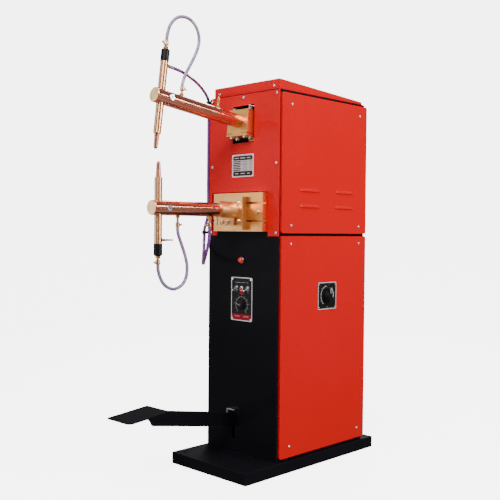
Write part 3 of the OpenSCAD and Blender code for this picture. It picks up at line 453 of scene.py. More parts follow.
RED = enamel("red enamel", (0.66, 0.0035, 0.0065), (0.56, 0.003, 0.006), 0.22)
BLACK = enamel("black enamel", (0.0050, 0.0048, 0.0066), (0.0085, 0.0078, 0.0105), 0.36, 0.03)
COPPER = (0.87, 0.31, 0.20)
COPPER_DARK = (0.62, 0.17, 0.09)
HOLDER_COPPER = (0.94, 0.50, 0.25)
# pale gold painted on the turned ends as a painted highlight
END_FACE_HIGHLIGHT = (0.97, 0.68, 0.32)
UPPER_ARM = turned("upper arm copper", COPPER, COPPER_DARK, "Y", UPPER_AXIS, -ARM_TILT)
LOWER_ARM = turned("lower arm copper", COPPER, COPPER_DARK, "Y", LOWER_AXIS)
UPPER_HOLDER = turned("upper holder copper", HOLDER_COPPER, COPPER_DARK, "Z", UPPER_AXIS, -ARM_TILT, 0.27)
LOWER_HOLDER = turned("lower holder copper", HOLDER_COPPER, COPPER_DARK, "Z", LOWER_AXIS, 0.0, 0.27)
SLEEVE = milled("sleeve bronze", (0.97, 0.54, 0.22), (0.80, 0.36, 0.12), 0.36, grain=(20, 300, 900))
GOLD = milled("clamp bronze", (0.95, 0.52, 0.16), (0.74, 0.33, 0.09), 0.40, grain=(20, 300, 900))
PLATEN = milled("platen bronze", (0.95, 0.44, 0.15), (0.74, 0.28, 0.08), 0.28, grain=(20, 300, 1100))
BRASS = milled("fitting brass", (0.74, 0.40, 0.13), (0.50, 0.23, 0.06), 0.34, grain=(60, 60, 60))
ZINC = milled("zinc plate", (0.82, 0.82, 0.84), (0.55, 0.55, 0.60), 0.22, grain=(120, 120, 120))
CHROME = milled("chrome", (0.90, 0.90, 0.92), (0.62, 0.62, 0.66), 0.1, grain=(40, 40, 40))
STEEL = milled("ground steel", (0.34, 0.34, 0.36), (0.20, 0.19, 0.19), 0.35, grain=(20, 300, 20))
PLASTIC = moulded("black plastic", (0.007, 0.006, 0.007), 0.34)
RUBBER = moulded("black rubber", (0.018, 0.018, 0.019), 0.55)
ALLOY = milled("etched alloy", (0.60, 0.50, 0.48), (0.38, 0.30, 0.30), 0.36, 0.9, grain=(6, 200, 300))
PALE_ALLOY = milled("pale rim", (0.86, 0.84, 0.80), (0.70, 0.68, 0.66), 0.4, 0.6, grain=(6, 200, 300))
CLIP = milled("clip brass", (0.78, 0.48, 0.20), (0.50, 0.28, 0.10), 0.32, grain=(90, 90, 90))
SPRING = milled("spring steel", (0.30, 0.31, 0.33), (0.12, 0.12, 0.13), 0.3, grain=(40, 40, 40))
LEAF = milled("copper leaf", (0.84, 0.47, 0.27), (0.55, 0.26, 0.13), 0.32, grain=(8, 60, 60))
WHITE_INK = moulded("white ink", (0.72, 0.72, 0.70), 0.5)
GREY_INK = moulded("grey ink", (0.34, 0.34, 0.35), 0.5)
BLACK_INK = moulded("black ink", (0.012, 0.010, 0.012), 0.4)
PINK_INK = moulded("pale red ink", (0.46, 0.16, 0.17), 0.5)
RED_INK = moulded("red ink", (0.26, 0.006, 0.018), 0.45)


def lamp_material():
    """Clear red moulding that glows a little from its bulb."""
    f = Finish("red lens", (0.70, 0.010, 0.010), 0.08, Transmission_Weight=0.35, IOR=1.49, Coat_Weight=0.6,
               Emission_Strength=0.25)
    f.set("Emission Color", (1.0, 0.03, 0.02, 1))
    f.tint(f.noise(300, 2), (0.45, 0.004, 0.004), 0.4, 0.7, 0.6)
    f.bump(f.noise(700, 1), 0.00015, 0.3)
    return f.material


def hose_material(name, color, pale):
    """Clear soft PVC with a violet tint."""
    f = Finish(name, color, 0.14, Transmission_Weight=0.04, IOR=1.42, Coat_Weight=0.2, Coat_Roughness=0.05,
               Subsurface_Weight=0.1)
    f.tint(f.noise(18, 3), pale, 0.42, 0.68, 0.75)
    f.rough(f.noise(60, 3), 0.1, 0.24)
    f.bump(f.noise(500, 2), 0.0001, 0.25)
    return f.material


def water_material():
    """Water and shadow inside the hose."""
    f = Finish("hose water", (0.22, 0.10, 0.32), 0.1, Transmission_Weight=0.1, IOR=1.33)
    f.tint(f.noise(30, 3), (0.36, 0.22, 0.46), 0.4, 0.7, 0.7)
    return f.material


def core_material():
    """Stacked and varnished transformer sheets."""
    f = Finish("laminations", (0.10, 0.10, 0.105), 0.5, 0.6)
    sheets = f.noise(1.0, 1, (4, 1400, 4))
    f.tint(sheets, (0.19, 0.18, 0.17), 0.4, 0.6, 0.8)
    f.tint(f.noise(12, 4), (0.11, 0.05, 0.03), 0.55, 0.8, 0.5)
    f.bump(sheets, 0.0003, 0.6)
    return f.material


def winding_material():
    """Varnished cotton tape round the coils."""
    f = Finish("coil tape", (0.36, 0.20, 0.09), 0.45, Coat_Weight=0.4)
    tape = f.noise(1.0, 2, (25, 25, 420))
    f.tint(tape, (0.52, 0.33, 0.16), 0.4, 0.6, 0.7)
    f.bump(tape, 0.0006, 0.6)
    return f.material


LENS = lamp_material()
HOSE = hose_material("loop hose pvc", (0.27, 0.16, 0.30), (0.50, 0.43, 0.54))
SUPPLY_HOSE = hose_material("supply hose pvc", (0.17, 0.045, 0.22), (0.29, 0.13, 0.34))
HOSE_CORE = water_material()
CORE = core_material()
WINDING = winding_material()


def tip_material(name, tip_z, base_z):
    """Electrode copper, blued by heat and scuffed towards its working end."""
    f = Finish(name, COPPER, 0.24, 1.0)
    f.tint(f.noise(1.0, 3, (6, 6, 1100)), COPPER_DARK, 0.35, 0.75, 0.5)
    heat = f.height(base_z, tip_z)
    f.tint(heat, (0.42, 0.20, 0.13), 0.55, 1.0, 0.55)
    f.rough(f.noise(90, 4), 0.16, 0.42)
    f.bump(f.noise(1.0, 2, (6, 6, 1100)), 0.0001, 0.4)
    f.bump(f.noise(700, 3), 0.0001, 0.3)
    return f.material


UPPER_TIP = tip_material("upper tip copper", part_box("upper_tip")[0].z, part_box("upper_tip")[1].z - 0.03)
LOWER_TIP = tip_material("lower tip copper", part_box("lower_tip")[1].z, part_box("lower_tip")[0].z + 0.03)

# --- Hoses ---

HOSE_RADIUS = 0.0055
HOSE_BORE = 0.0038

UPPER_LOOP = [
    (0, -363.3, 1437.5), (0, -362.3, 1445.4), (0, -360.5, 1456), (0, -357, 1470), (0, -349, 1489),
    (0, -335, 1507), (0, -316, 1521), (0, -294, 1527), (0, -271, 1526), (0, -251, 1517),
    (0, -236, 1502), (0, -227, 1484), (0, -224, 1463), (0, -228, 1441), (0, -238, 1417),
    (0, -252, 1392), (0, -266, 1369), (0, -279, 1348), (0, -289, 1328), (0, -294.6, 1309.4),
    (0, -295.6, 1301.2)]
LOWER_LOOP = [
    (0, -393.5, 721), (0, -393.5, 713), (0, -392, 702), (0, -387, 687), (0, -378, 669),
    (0, -364, 654), (0, -346, 644), (0, -326, 640), (0, -305, 645), (0, -286, 657),
    (0, -274, 677), (0, -270, 700), (0, -272, 725), (0, -280, 751), (0, -291, 777),
    (0, -302, 801), (0, -310, 822), (0, -312, 835), (0, -312, 843)]
SUPPLY = [
    (0, -337.7, 1354.9), (0, -330.8, 1354), (-4, -315, 1353.2), (-13, -293, 1353),
    (-30, -263, 1353.5), (-51, -231, 1354), (-74, -197, 1354), (-97, -160, 1353),
    (-119, -123, 1349), (-139, -89, 1343), (-156, -59, 1335), (-170, -34, 1325),
    (-179, -17, 1314), (-182, -10, 1300), (-182, -10, 1278), (-182, -10, 1150),
    (-182, -10, 1000), (-182, -10, 900), (-183, -12, 878), (-186, -18, 853),
    (-188, -22, 835), (-188, -22, 808), (-186, -25, 789), (-179, -32, 767),
    (-167, -45, 747), (-149, -62, 730), (-125, -85, 719), (-98, -109, 715),
    (-69, -133, 719), (-42, -154, 732), (-19, -167, 755), (-5, -171, 785),
    (0, -171, 815), (0, -171, 843)]
SUPPLY_SPLIT = (7, 21)


def smooth_path(route, steps=4):
    """A centripetal Catmull-Rom curve through the route's points, in metres."""
    points = [Vector(p) * MM for p in route]
    padded = [2 * points[0] - points[1]] + points + [2 * points[-1] - points[-2]]
    path = []
    for near in zip(padded, padded[1:], padded[2:], padded[3:]):
        knots = [0.0]
        for a, b in zip(near, near[1:]):
            knots.append(knots[-1] + max((b - a).length, 1e-6) ** 0.5)
        for k in range(steps):
            t = knots[1] + (knots[2] - knots[1]) * k / steps
            level = near
            for span, skip in ((1, 0), (2, 0), (1, 1)):  # the knots that each level's lines run between
                level = [between(level[n], level[n + 1], knots[n + skip], knots[n + skip + span], t)
                         for n in range(len(level) - 1)]
            path.append(level[0])
    return path + [points[-1]]


def between(first, second, start, end, t):
    """The point at time t on the line from first at start to second at end."""
    return first * ((end - t) / (end - start)) + second * ((t - start) / (end - start))


def directions(path):
    """The way ahead at each point of a path."""
    return [(after - before).normalized() for before, after in zip(path[:1] + path, path[1:] + path[-1:])]


def sweep(bm, path, radius, sides=20, material=0):
    """A tube along a path, with frames that don't twist."""
    normal = directions(path)[0].orthogonal().normalized()
    rings = []
    for point, ahead in zip(path, directions(path)):
        normal = (normal - ahead * normal.dot(ahead)).normalized()
        other = ahead.cross(normal)
        rings.append([bm.verts.new(point + radius * (normal * cos(a) + other * sin(a)))
                      for a in around(sides)])
    walls(bm, rings, material)
    return rings


def hose(node, route, finish):
    """A soft hose with a wall and a bore, swept along a smooth path through the route."""
    path = smooth_path(route)
    bm = bmesh.new()
    outer = sweep(bm, path, HOSE_RADIUS)
    inner = sweep(bm, path, HOSE_BORE, material=1)
    for end in (0, -1):
        walls(bm, [outer[end], inner[end]])
    obj = finish_mesh("clear_" + node, bm, [finish, HOSE_CORE])
    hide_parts(node)
    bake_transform(obj)


first, second = SUPPLY_SPLIT
hose("upper_loop_hose", UPPER_LOOP, HOSE)
hose("lower_loop_hose", LOWER_LOOP, HOSE)
hose("supply_hose_front", SUPPLY[:first + 1], SUPPLY_HOSE)
hose("supply_hose_side", SUPPLY[first:second + 1], SUPPLY_HOSE)
hose("supply_hose_loop", SUPPLY[second:], SUPPLY_HOSE)

# --- CAD nodes that keep their shape ---

CARRIED = (  # each finish and bevel in millimetres, with the nodes that wear them
    (BLACK, 1.2, "base_plinth"),
    (BLACK, 0.8, "cabinet_frame front_panel_lower foot_pedal"),
    (RED, 1.5, "top_cover"),
    (RED, 1.2, "right_upper_cover right_lower_cover left_upper_cover left_lower_cover"),
    (RED, 0.8, "front_plate_upper"),
    (RED, 0.6, "rear_cover"),
    (PLASTIC, 1.0, "switchgear tap_switch"),
    (PLASTIC, 0.8, "mains_gland"),
    (PLASTIC, 0.6, "upper_cap lower_cap"),
    (RUBBER, 0.5, "hose_p_clips"),
    (CORE, 0.6, "transformer_core"),
    (WINDING, 3.0, "primary_coils"),
    (PLATEN, 1.0, "secondary_bus"),
    (PLATEN, 0.8, "arm_platen"),
    (SLEEVE, 0.8, "arm_sleeve"),
    (GOLD, 0.8, "arm_clamp_block arm_clamp_cap"),
    (BRASS, 0.4, "rocker_bushes"),
    (ZINC, 0.5, "lower_mount_bolts arm_clamp_bolts lower_clamp_screw"),
    (CHROME, 1.5, "pedal_guard"),
    (STEEL, 1.0, "rocker_lever"),
    (STEEL, 0.8, "hinge_shafts"),
    (STEEL, 0.6, "push_rod"),
    (UPPER_ARM, 0.4, "upper_arm"),
    (LOWER_ARM, 0.4, "lower_arm"),
    (UPPER_HOLDER, 0.6, "upper_holder"),
    (LOWER_HOLDER, 0.6, "lower_holder"),
    (UPPER_TIP, 0.3, "upper_tip"),
    (LOWER_TIP, 0.3, "lower_tip"))


def carry(name, material, bevel):
    """Gives a CAD node its material and rounds its edges."""
    obj = NODES[name]
    obj.data.materials.clear()
    obj.data.materials.append(material)
    flat = obj.modifiers.new("faces", "DECIMATE")
    flat.decimate_type = "DISSOLVE"
    flat.angle_limit = radians(0.5)
    add_bevel(obj, bevel * MM)


for node_finish, node_bevel, node_names in CARRIED:
    for node_name in node_names.split():
        carry(node_name, node_finish, node_bevel)

# --- Frames in millimetres ---


def mm(x, y, z, z_axis=(0, 0, 1), x_axis=None):
    """A frame at a point, in which lengths are millimetres."""
    return place(Vector((x, y, z)) * MM, z_axis, x_axis) @ Matrix.Scale(MM, 4)


def on_front(x, z, lift=0.0):
    """A frame on the front plates: X to the right, Y up, Z out of the plate."""
    return mm(x, FRONT - lift, z, (0, -1, 0), (1, 0, 0))


def on_side(y, z, side=1, lift=0.0):
    """A frame on a side cover: Y up and Z out of the cover."""
    return mm(side * (COVER + lift), y, z, (side, 0, 0), (0, side, 0))


UPSIDE_DOWN = Matrix.Scale(-1, 4, (0, 0, 1))
ROCKER = mm(*PIVOT) @ spin(-ARM_TILT, "X")
UPPER = ROCKER @ shift(y=-REACH, z=-ARM_DROP) @ UPSIDE_DOWN
LOWER = mm(*LOWER_AXIS)

# --- Turned, cut and wound shapes ---


def hexagon(bm, at, flats, low, high, chamfer=0.8):
    """A hexagon with its corners chamfered at both ends."""
    radius = flats / 2 / cos(pi / 6)
    rows = [(radius - chamfer, low), (radius, low + chamfer * 0.6), (radius, high - chamfer * 0.6),
            (radius - chamfer, high)]
    loft(bm, [(polygon(6, r), z) for r, z in rows], at)


def threads(radius, low, high, pitch=1.25, depth=0.55):
    """The profile of a threaded stretch."""
    count = max(1, round((high - low) / pitch))
    step = (high - low) / count
    profile = []
    for k in range(count):
        profile += [(radius - depth, low + k * step), (radius, low + (k + 0.5) * step)]
    return profile


def barbs(small, big, low, high, count=3):
    """The profile of a hose tail: steps that narrow towards the hose's end."""
    step = (high - low) / count
    profile = []
    for k in range(count):
        profile += [(big, low + k * step), (big, low + (k + 0.15) * step), (small, low + (k + 1) * step)]
    return profile


def baked(obj, *helpers):
    """The mesh of an object as its modifiers leave it, once the object and its helpers are gone."""
    mesh = bpy.data.meshes.new_from_object(obj.evaluated_get(bpy.context.evaluated_depsgraph_get()))
    for spent in (obj, *helpers):
        bpy.data.objects.remove(spent)
    return mesh


def carved(solid, cutter):
    """The mesh of one solid with another cut out of it."""
    block, tool = (linked(name, mesh_of(name, bm)) for name, bm in (("solid", solid), ("cutter", cutter)))
    cut = block.modifiers.new("cut", "BOOLEAN")
    cut.operation = "DIFFERENCE"
    cut.solver = "EXACT"
    cut.object = tool
    return baked(block, tool)


def stamp(bm, mesh, at, material=0):
    """Adds a copy of a mesh at a frame."""
    verts, faces = len(bm.verts), len(bm.faces)
    bm.from_mesh(mesh)
    bmesh.ops.transform(bm, matrix=at, verts=list(bm.verts)[verts:])
    for face in list(bm.faces)[faces:]:
        face.material_index = material


def digits(bm, text, at, size, material=0, rise=0.12):
    """Raised figures, centred on the frame's origin."""
    curve = bpy.data.curves.new("figures", "FONT")
    curve.body = text
    curve.size = size
    curve.align_x = "CENTER"
    curve.align_y = "CENTER"
    curve.extrude = rise / 2
    curve.resolution_u = 3
    stamp(bm, baked(linked("figures", curve)), at @ shift(z=rise / 2), material)


def arc_band(bm, at, radius, width, start, end, low, high, material=0, steps=28):
    """A flat band along an arc, between two angles in degrees."""
    angles = [radians(start + (end - start) * k / steps) for k in range(steps + 1)]
    outer = [polar(radius + width / 2, a) for a in angles]
    inner = [polar(radius - width / 2, a) for a in reversed(angles)]
    prism(bm, outer + inner, low, high, at, material)


def ticks(bm, at, inner, outer, start, end, count, width, low, high, material=0):
    """Short radial lines spread over an arc."""
    line = [(inner, -width / 2), (outer, -width / 2), (outer, width / 2), (inner, width / 2)]
    for k in range(count):
        prism(bm, line, low, high, at @ spin(start + (end - start) * k / (count - 1)), material)


def bar(bm, at, x, y, width, height, low, high, material=0, radius=0.3):
    """A small raised bar with round corners."""
    prism(bm, rounded(width, height, radius, 3, (x, y)), low, high, at, material)


def half_discs(bm, at, radius, slot, low, high, material=0):
    """A screw head parted by its slot."""
    reach = asin(slot / 2 / radius)
    for turn in (0, pi):
        outline = [polar(radius, turn + reach + (pi - 2 * reach) * k / 12) for k in range(13)]
        prism(bm, outline, low, high, at, material)


# --- Screws of the sheet metal ---

SIDE_SCREW_Y = (50, 436)
SIDE_SCREW_Z = (1267, 851, 788, 88)
FRONT_SCREWS = ((158.5, 1300, 0), (0, 1301, 0), (-158, 1063, 0), (158, 1063, 0), (159, 825, 0),
                (-158.5, 1300, 2), (-159, 825, 2))  # x, z and the gauge of a hose clip under the head
ROOF_SCREWS = ((-134, 1328), (134, 1328))
ROOF_LIP = -0.04
SCREW_TURN = 0.77  # radians from one screw's cross to the next


def cross_head(grip):
    """A pan-head screw with a cross recess, its head above Z = 0."""
    solid = bmesh.new()
    lathe(solid, [(0, -grip), (2.0, -grip), (2.4, -grip + 0.6), (2.4, 0), (5.0, 0), (5.0, 0.55), (4.75, 1.15),
                  (4.1, 1.75), (3.1, 2.2), (1.7, 2.44), (0, 2.5)], segments=36)
    cutter = bmesh.new()
    arm, half = 2.9, 0.62
    quarter = [(half, half), (half, arm), (-half, arm)]
    plus = []
    for _ in range(4):
        plus += quarter
        quarter = [(-y, x) for x, y in quarter]
    prism(cutter, plus, 1.0, 3.2)
    return carved(solid, cutter)


def make_cover_screws():
    """Every screw of the covers, each turned as its last tightening left it."""
    head = cross_head(6)
    bm = bmesh.new()
    spots = [on_side(y, z, side) for side in (1, -1) for y in SIDE_SCREW_Y for z in SIDE_SCREW_Z]
    spots += [on_front(x, z, lift) for x, z, lift in FRONT_SCREWS]
    spots += [mm(x, ROOF_LIP, z, (0, -1, 0), (1, 0, 0)) for x, z in ROOF_SCREWS]
    for k, spot in enumerate(spots):
        stamp(bm, head, spot @ Matrix.Rotation(k * SCREW_TURN, 4, "Z"))
    ship(finish_mesh("cross_head_screws", bm, [ZINC], 30), "cabinet", "zinc_plate", "cover_screws")


# --- Plates and dials ---


RATING_ROWS = (15, 9, 3, -3, -9, -15)
RATING_WORDS = ((-30, 22), (0, 26), (29, 18))


def corners(x, y):
    """The four points at equal distances from a plate's middle."""
    return [(side * x, end * y) for side in (-1, 1) for end in (-1, 1)]


def rimmed(bm, at, outline, inside, face, top):
    """A plate with a raised rim in the second material."""
    prism(bm, outline, 0, face, at)
    loft(bm, [(outline, face), (outline, top), (inside, top), (inside, face)], at, 1, ring=True)


def make_rating_plate():
    """An etched metal plate with black bands, ruled lines and no wording."""
    at = on_front(*RATING_PLATE)
    face, ink, band, word = 1.2, 1.3, 1.32, 1.42
    bm = bmesh.new()
    rimmed(bm, at, rounded(106, 79, 3), rounded(101, 74, 2), face, 1.36)
    for y, height in ((27, 15), (-27.5, 16)):
        prism(bm, rounded(96, height, 6.5, 6, (0, y)), face, band, at, 2)
    for row, y in enumerate(RATING_ROWS):
        bar(bm, at, -29, y, 39 - 4 * (row % 2), 3.4, face, ink, 2)
        bar(bm, at, 10, y, 20 + 4 * (row % 3), 1.5, face, ink, 2)
        bar(bm, at, 39, y, 14 - 3 * (row % 2), 1.5, face, ink, 2)
    for x, width in RATING_WORDS:
        bar(bm, at, x, 27, width, 3.2, band, word)
        bar(bm, at, x, -27.5, width - 5, 2.6, band, word)
    for x, y in corners(49, 35.6):
        rivet = [(1.9, face), (1.9, 1.25), (1.5, 1.42), (0.8, 1.48), (0, 1.49)]
        lathe(bm, rivet, at @ shift(x, y), 16, 3)
    finishes = [ALLOY, PALE_ALLOY, BLACK_INK, ZINC]
    ship(finish_mesh("etched_rating_plate", bm, finishes, 30), "cabinet", "label_metal", "rating_plate")


def make_control_plate():
    """The operator's plate: silver rim, corner screws, lamp patch, timer scale and foot band."""
    at = on_front(*CONTROL_PLATE)
    face, ink, patch = 1.25, 1.36, 1.38
    bm = bmesh.new()
    rimmed(bm, at, rounded(104, 154, 3), rounded(98.5, 148.5, 1.5), face, 1.45)
    for x, y in corners(45.5, 70.5):
        spot = at @ shift(x, y)
        lathe(bm, [(3.6, face), (3.6, 1.45), (3.3, 1.9)], spot, 24, 2)
        half_discs(bm, spot @ Matrix.Rotation(0.6 + x * 0.05, 4, "Z"), 3.2, 0.8, 1.9, 2.6, 2)
    for x, width in ((-18, 30), (8, 14), (26, 12)):
        bar(bm, at, x, 59, width, 1.4, face, ink, 3)
    bar(bm, at, 0, 21.5, 22, 9.5, face, patch, 4, 1.5)
    for x in TOGGLES_X:
        digits(bm, "1", at @ shift(x, 53, face), 5.5, 3)
        digits(bm, "0", at @ shift(x, 25.5, face), 5.5, 3)
    dial = at @ shift(y=TIMER[1] - CONTROL_PLATE[1])
    first, last, steps = 230, -50, 10
    arc_band(bm, dial, 29, 0.9, last, first, face, ink, 3)
    ticks(bm, dial, 25.5, 28.6, last, first, steps + 1, 0.9, face, ink, 3)
    ticks(bm, dial, 27, 28.6, last, first, 5 * steps + 1, 0.4, face, 1.34, 3)
    for k in range(steps + 1):
        x, y = polar(34.5, radians(first + (last - first) / steps * k))
        digits(bm, str(k), dial @ shift(x, y, face), 5.4, 3)
    bar(bm, at, 0, -63.5, 96, 20, face, patch, 4, 0.6)
    for x in (-21, 22):
        bar(bm, at, x, -61, 26, 3.6, patch, 1.46, 5)
    finishes = [PLASTIC, PALE_ALLOY, CHROME, GREY_INK, RED_INK, PINK_INK]
    ship(finish_mesh("timer_panel", bm, finishes, 30), "cabinet", "label_metal", "control_plate")


def make_selector_plate():
    """The heat selector's plate: pale rim, black face, arc and step numbers."""
    at = on_side(*HEAT_SELECTOR)
    face, ink = 1.2, 1.34
    bm = bmesh.new()
    rimmed(bm, at, rounded(104, 98, 4), rounded(98, 92, 2), face, 1.42)
    arc_band(bm, at, 35.5, 1.2, 95, 235, face, ink, 2)
    arc_band(bm, at, 35.5, 2.2, -12, 48, face, ink, 2)
    bar(bm, at, 0, -41, 2, 6, face, ink, 3)
    ticks(bm, at, 30.5, 33.5, -30, 210, 9, 0.7, face, ink, 3)
    for k in range(8):
        a = radians(205 - 32 * k)
        digits(bm, str(k + 1), at @ shift(41.5 * cos(a), 40.5 * sin(a), face), 5.0, 3)
    for x, y in corners(44, 41):
        lathe(bm, [(1.8, face), (1.8, 1.3), (1.3, 1.46), (0, 1.49)], at @ shift(x, y), 16, 1)
    finishes = [PLASTIC, PALE_ALLOY, WHITE_INK, GREY_INK]
    ship(finish_mesh("heat_scale", bm, finishes, 30), "cabinet", "label_metal", "selector_plate")


# --- Lamps, bushes and knobs ---


def make_lamps():
    """Domed lenses with moulded ribs round their feet."""
    foot = 3.0
    bm = bmesh.new()
    for at, r, shank in ((on_front(*PILOT_LAMP), 10, 8), (on_front(*WELD_LAMP, PLATE), 6, 5)):
        quarter = [polar(r, pi / 2 * k / 9) for k in range(1, 9)]
        dome = [(x, foot + y) for x, y in quarter] + [(0, foot + r)]
        lathe(bm, [(shank, -8), (shank, foot), (r, foot), (r, foot + 0.4)] + dome, at, 48)
        rib = [(0, foot + 0.05), (0.55, foot + 0.3), (0.5, foot + 2.2), (0, foot + 2.8)]
        for a in around(24):
            lathe(bm, rib, at @ shift(*polar(r - 0.15, a)), 6)
    ship(finish_mesh("ribbed_lenses", bm, [LENS], 60), "cabinet", "lamp_red", "lamp_lenses")


def make_bezels():
    """Chrome rings of the lamps, and each toggle's threaded bush, nut and washer."""
    bm = bmesh.new()
    pilot = [(8.05, 0), (12, 0), (12, 1.2), (11.4, 2.2), (10.4, 2.9), (10.1, 2.9), (9.9, 2.2), (8.05, 2.1)]
    lathe(bm, pilot, on_front(*PILOT_LAMP), 48, 1, ring=True)
    weld = [(5.1, -4), (7, -4), (7, 0), (10, 0), (10, 1.0), (9.4, 2.2), (8.0, 3.0), (6.6, 3.0), (6.3, 2.4),
            (5.1, 2.2)]
    lathe(bm, weld, on_front(*WELD_LAMP, PLATE), 48, ring=True)
    bush = [(4.4, -5), (5.6, -5)] + threads(6.0, -4.5, 7.2, 0.9, 0.4)
    bush += [(5.6, 7.6), (5.2, 8.0), (4.6, 8.0), (4.4, 7.2)]
    washer = [(6.0, 0.05), (9.6, 0.05), (9.6, 0.6), (6.0, 0.6)]
    for x in TOGGLES_X:
        at = on_front(x, TOGGLES_Z, PLATE)
        lathe(bm, bush, at, 32, 1, ring=True)
        lathe(bm, washer, at, 48, 1, flutes=16, depth=0.5, ring=True)
        nut_ring(bm, at, 15, 6.05, 0.65, 2.5, 1)
    rings = finish_mesh("lamp_rings_and_bushes", bm, [CHROME, SPRING], 30)
    ship(rings, "cabinet", "zinc_plate", "control_bezels")


def nut_ring(bm, at, flats, bore, low, high, material=0):
    """A hexagon nut with a round hole and chamfered corners."""
    count = 48
    tip = flats / 2 / cos(pi / 6)

    def hexagon_row(scale):
        edges = [flats / 2 / cos((a + pi / 6) % (pi / 3) - pi / 6) for a in around(count)]
        return [polar(min(edge, tip * scale), a) for edge, a in zip(edges, around(count))]

    hole = polygon(count, bore)
    blunt, full = hexagon_row(0.93), hexagon_row(1)
    rows = [(hole, low), (blunt, low), (full, low + 0.35), (full, high - 0.45), (blunt, high), (hole, high)]
    loft(bm, rows, at, material, ring=True)


def make_timer_knob():
    """A fluted dial knob with a skirt, a pointer, a scale on the skirt and a bright disc."""
    at = on_front(*TIMER, PLATE)
    pointer = at @ spin(75)
    bm = bmesh.new()
    lathe(bm, [(3, -12), (3, 2), (16.4, 2), (17, 2.5), (17, 3.4), (15.2, 4)], at, 64)
    lathe(bm, [(14, 3.9), (14, 9.6), (13.2, 10.7), (12.2, 11)], at, 96, flutes=24, depth=0.9)
    lathe(bm, [(8.4, 10.9), (8.4, 11.25), (7.9, 11.6), (0, 11.75)], at, 40)
    lathe(bm, [(3.4, 11.6), (3.4, 11.85), (3.0, 12.0), (0, 12.0)], at, 32, 1)
    prism(bm, [(-2.1, -2), (2.1, -2), (1.5, 12.8), (0, 14.6), (-1.5, 12.8)], 10.8, 12.6, pointer)
    prism(bm, [(-0.4, 1), (0.4, 1), (0.4, 14), (-0.4, 14)], 12.6, 12.75, pointer, 2)
    mark = [(15.4, -0.25), (16.8, -0.25), (16.8, 0.25), (15.4, 0.25)]
    for k in range(12):
        prism(bm, mark, 3.35, 3.52, at @ spin(30 * k), 2)
    ship(finish_mesh("fluted_timer_knob", bm, [PLASTIC, STEEL, WHITE_INK], 32, 0.0002), "timer_dial",
         "black_plastic", "timer_knob")


def make_selector_knob():
    """A winged selector knob with a pale pointer line."""
    at = on_side(*HEAT_SELECTOR, lift=PLATE)
    bm = bmesh.new()
    lathe(bm, [(5, -28), (5, 2), (20.3, 2), (21, 2.6), (21, 7.6), (19.5, 8.8), (15.2, 9.2)], at, 72)
    lathe(bm, [(15.2, 9.1), (15, 13.6), (14, 15)], at, 72, flutes=30, depth=0.5)
    profile = ((8.2, 0), (9, 0.3), (14.5, -0.2), (16.2, -1.0), (16.9, -2.2))
    loft(bm, [(winged(56 + grow, 12 + grow, 15), height) for height, grow in profile], at)
    bar(bm, at, 0, 17.5, 1.8, 18, 16.85, 17.0, 1)
    ship(finish_mesh("winged_selector_knob", bm, [PLASTIC, WHITE_INK], 32, 0.0004), "heat_selector",
         "black_plastic", "selector_knob")


def winged(length, width, waist, steps=10):
    """The outline of a grip with round ends, a little fuller at its middle."""
    radius = width / 2
    half = length / 2 - radius
    points = []
    for side in (1, -1):
        start = 0 if side > 0 else pi
        for k in range(steps + 1):
            x, y = polar(radius, start + pi * k / steps)
            points.append((x, side * half + y))
        for t in (k / 6 for k in range(1, 6)):
            bulge = (waist / 2 - radius) * sin(pi * t)
            points.append((-side * (radius + max(0.0, bulge)), side * half * (1 - 2 * t)))
    return points


def make_toggles():
    """Bat levers with a ball and a cross pin in the bush."""
    ball = [polar(4, -pi / 2 + 0.26 * k) for k in range(1, 11)]
    bat = [(1.7, 4.2), (1.5, 7), (1.9, 11), (2.5, 16), (2.8, 19), (2.5, 20.4), (1.6, 21.4), (0, 21.8)]
    for x, side in zip(TOGGLES_X, ("left", "right")):
        bm = bmesh.new()
        lathe(bm, [(0, -4)] + ball + bat, mm(x, TOGGLES_Y, TOGGLES_Z) @ spin(115, "X"), 28)
        lathe(bm, [(1.2, -5.3), (1.2, 5.3)], mm(x, TOGGLES_Y, TOGGLES_Z, (1, 0, 0)), 16)
        lever = finish_mesh(f"bat_lever_{side}", bm, [CHROME], 40)
        ship(lever, f"toggle_{side}", "zinc_plate", f"{side}_toggle")


# --- Water fittings ---


def hose_clip(bm, at, radius, width, reach):
    """A worm-drive band clip: rolled band, screw housing and a slotted hexagon screw along -Y."""
    inner, flat = radius - 1.3, radius - 0.5
    band = [(inner, 0), (flat, 0), (radius, 0.4), (radius, 1.6), (flat, 2.0), (flat, width - 2.0),
            (radius, width - 1.6), (radius, width - 0.4), (flat, width), (inner, width)]
    lathe(bm, band, at, 40, 2, ring=True)
    tooth = [(radius - 0.55, -0.35), (radius - 0.3, -0.35), (radius - 0.3, 0.35), (radius - 0.55, 0.35)]
    for k in range(14):
        prism(bm, tooth, width * 0.28, width * 0.72, at @ spin(20 + 10 * k), 2)
    screw = at @ shift(y=1 - radius, z=width / 2) @ spin(90, "X")
    housing = rounded(8.2, width * 0.72, 1.6)
    loft(bm, [(housing, 0), (housing, 2.6), (rounded(6.4, width * 0.55, 1.6), 3.4)], screw, 2)
    lathe(bm, [(2.1, 3.2)] + threads(2.3, 3.4, reach - 3.6, 0.8, 0.35) + [(2.0, reach - 3.4)], screw, 20)
    head = [(2.6, reach - 3.6), (3.5, reach - 3.1), (3.5, reach - 0.9), (3.1, reach - 0.8)]
    lathe(bm, head, screw, 36, flutes=12, depth=0.35)
    half_discs(bm, screw, 3.0, 0.8, reach - 0.85, reach)


def cuff(bm, at, low, high):
    """The end of a hose, pushed over its barbs and swollen by them."""
    swellings = ((4.0, 0), (5.5, 0), (5.75, 0.2), (5.6, 0.45), (5.8, 0.7), (5.5, 1), (4.0, 1))
    lathe(bm, [(radius, low + t * (high - low)) for radius, t in swellings], at, 32, 1, ring=True)


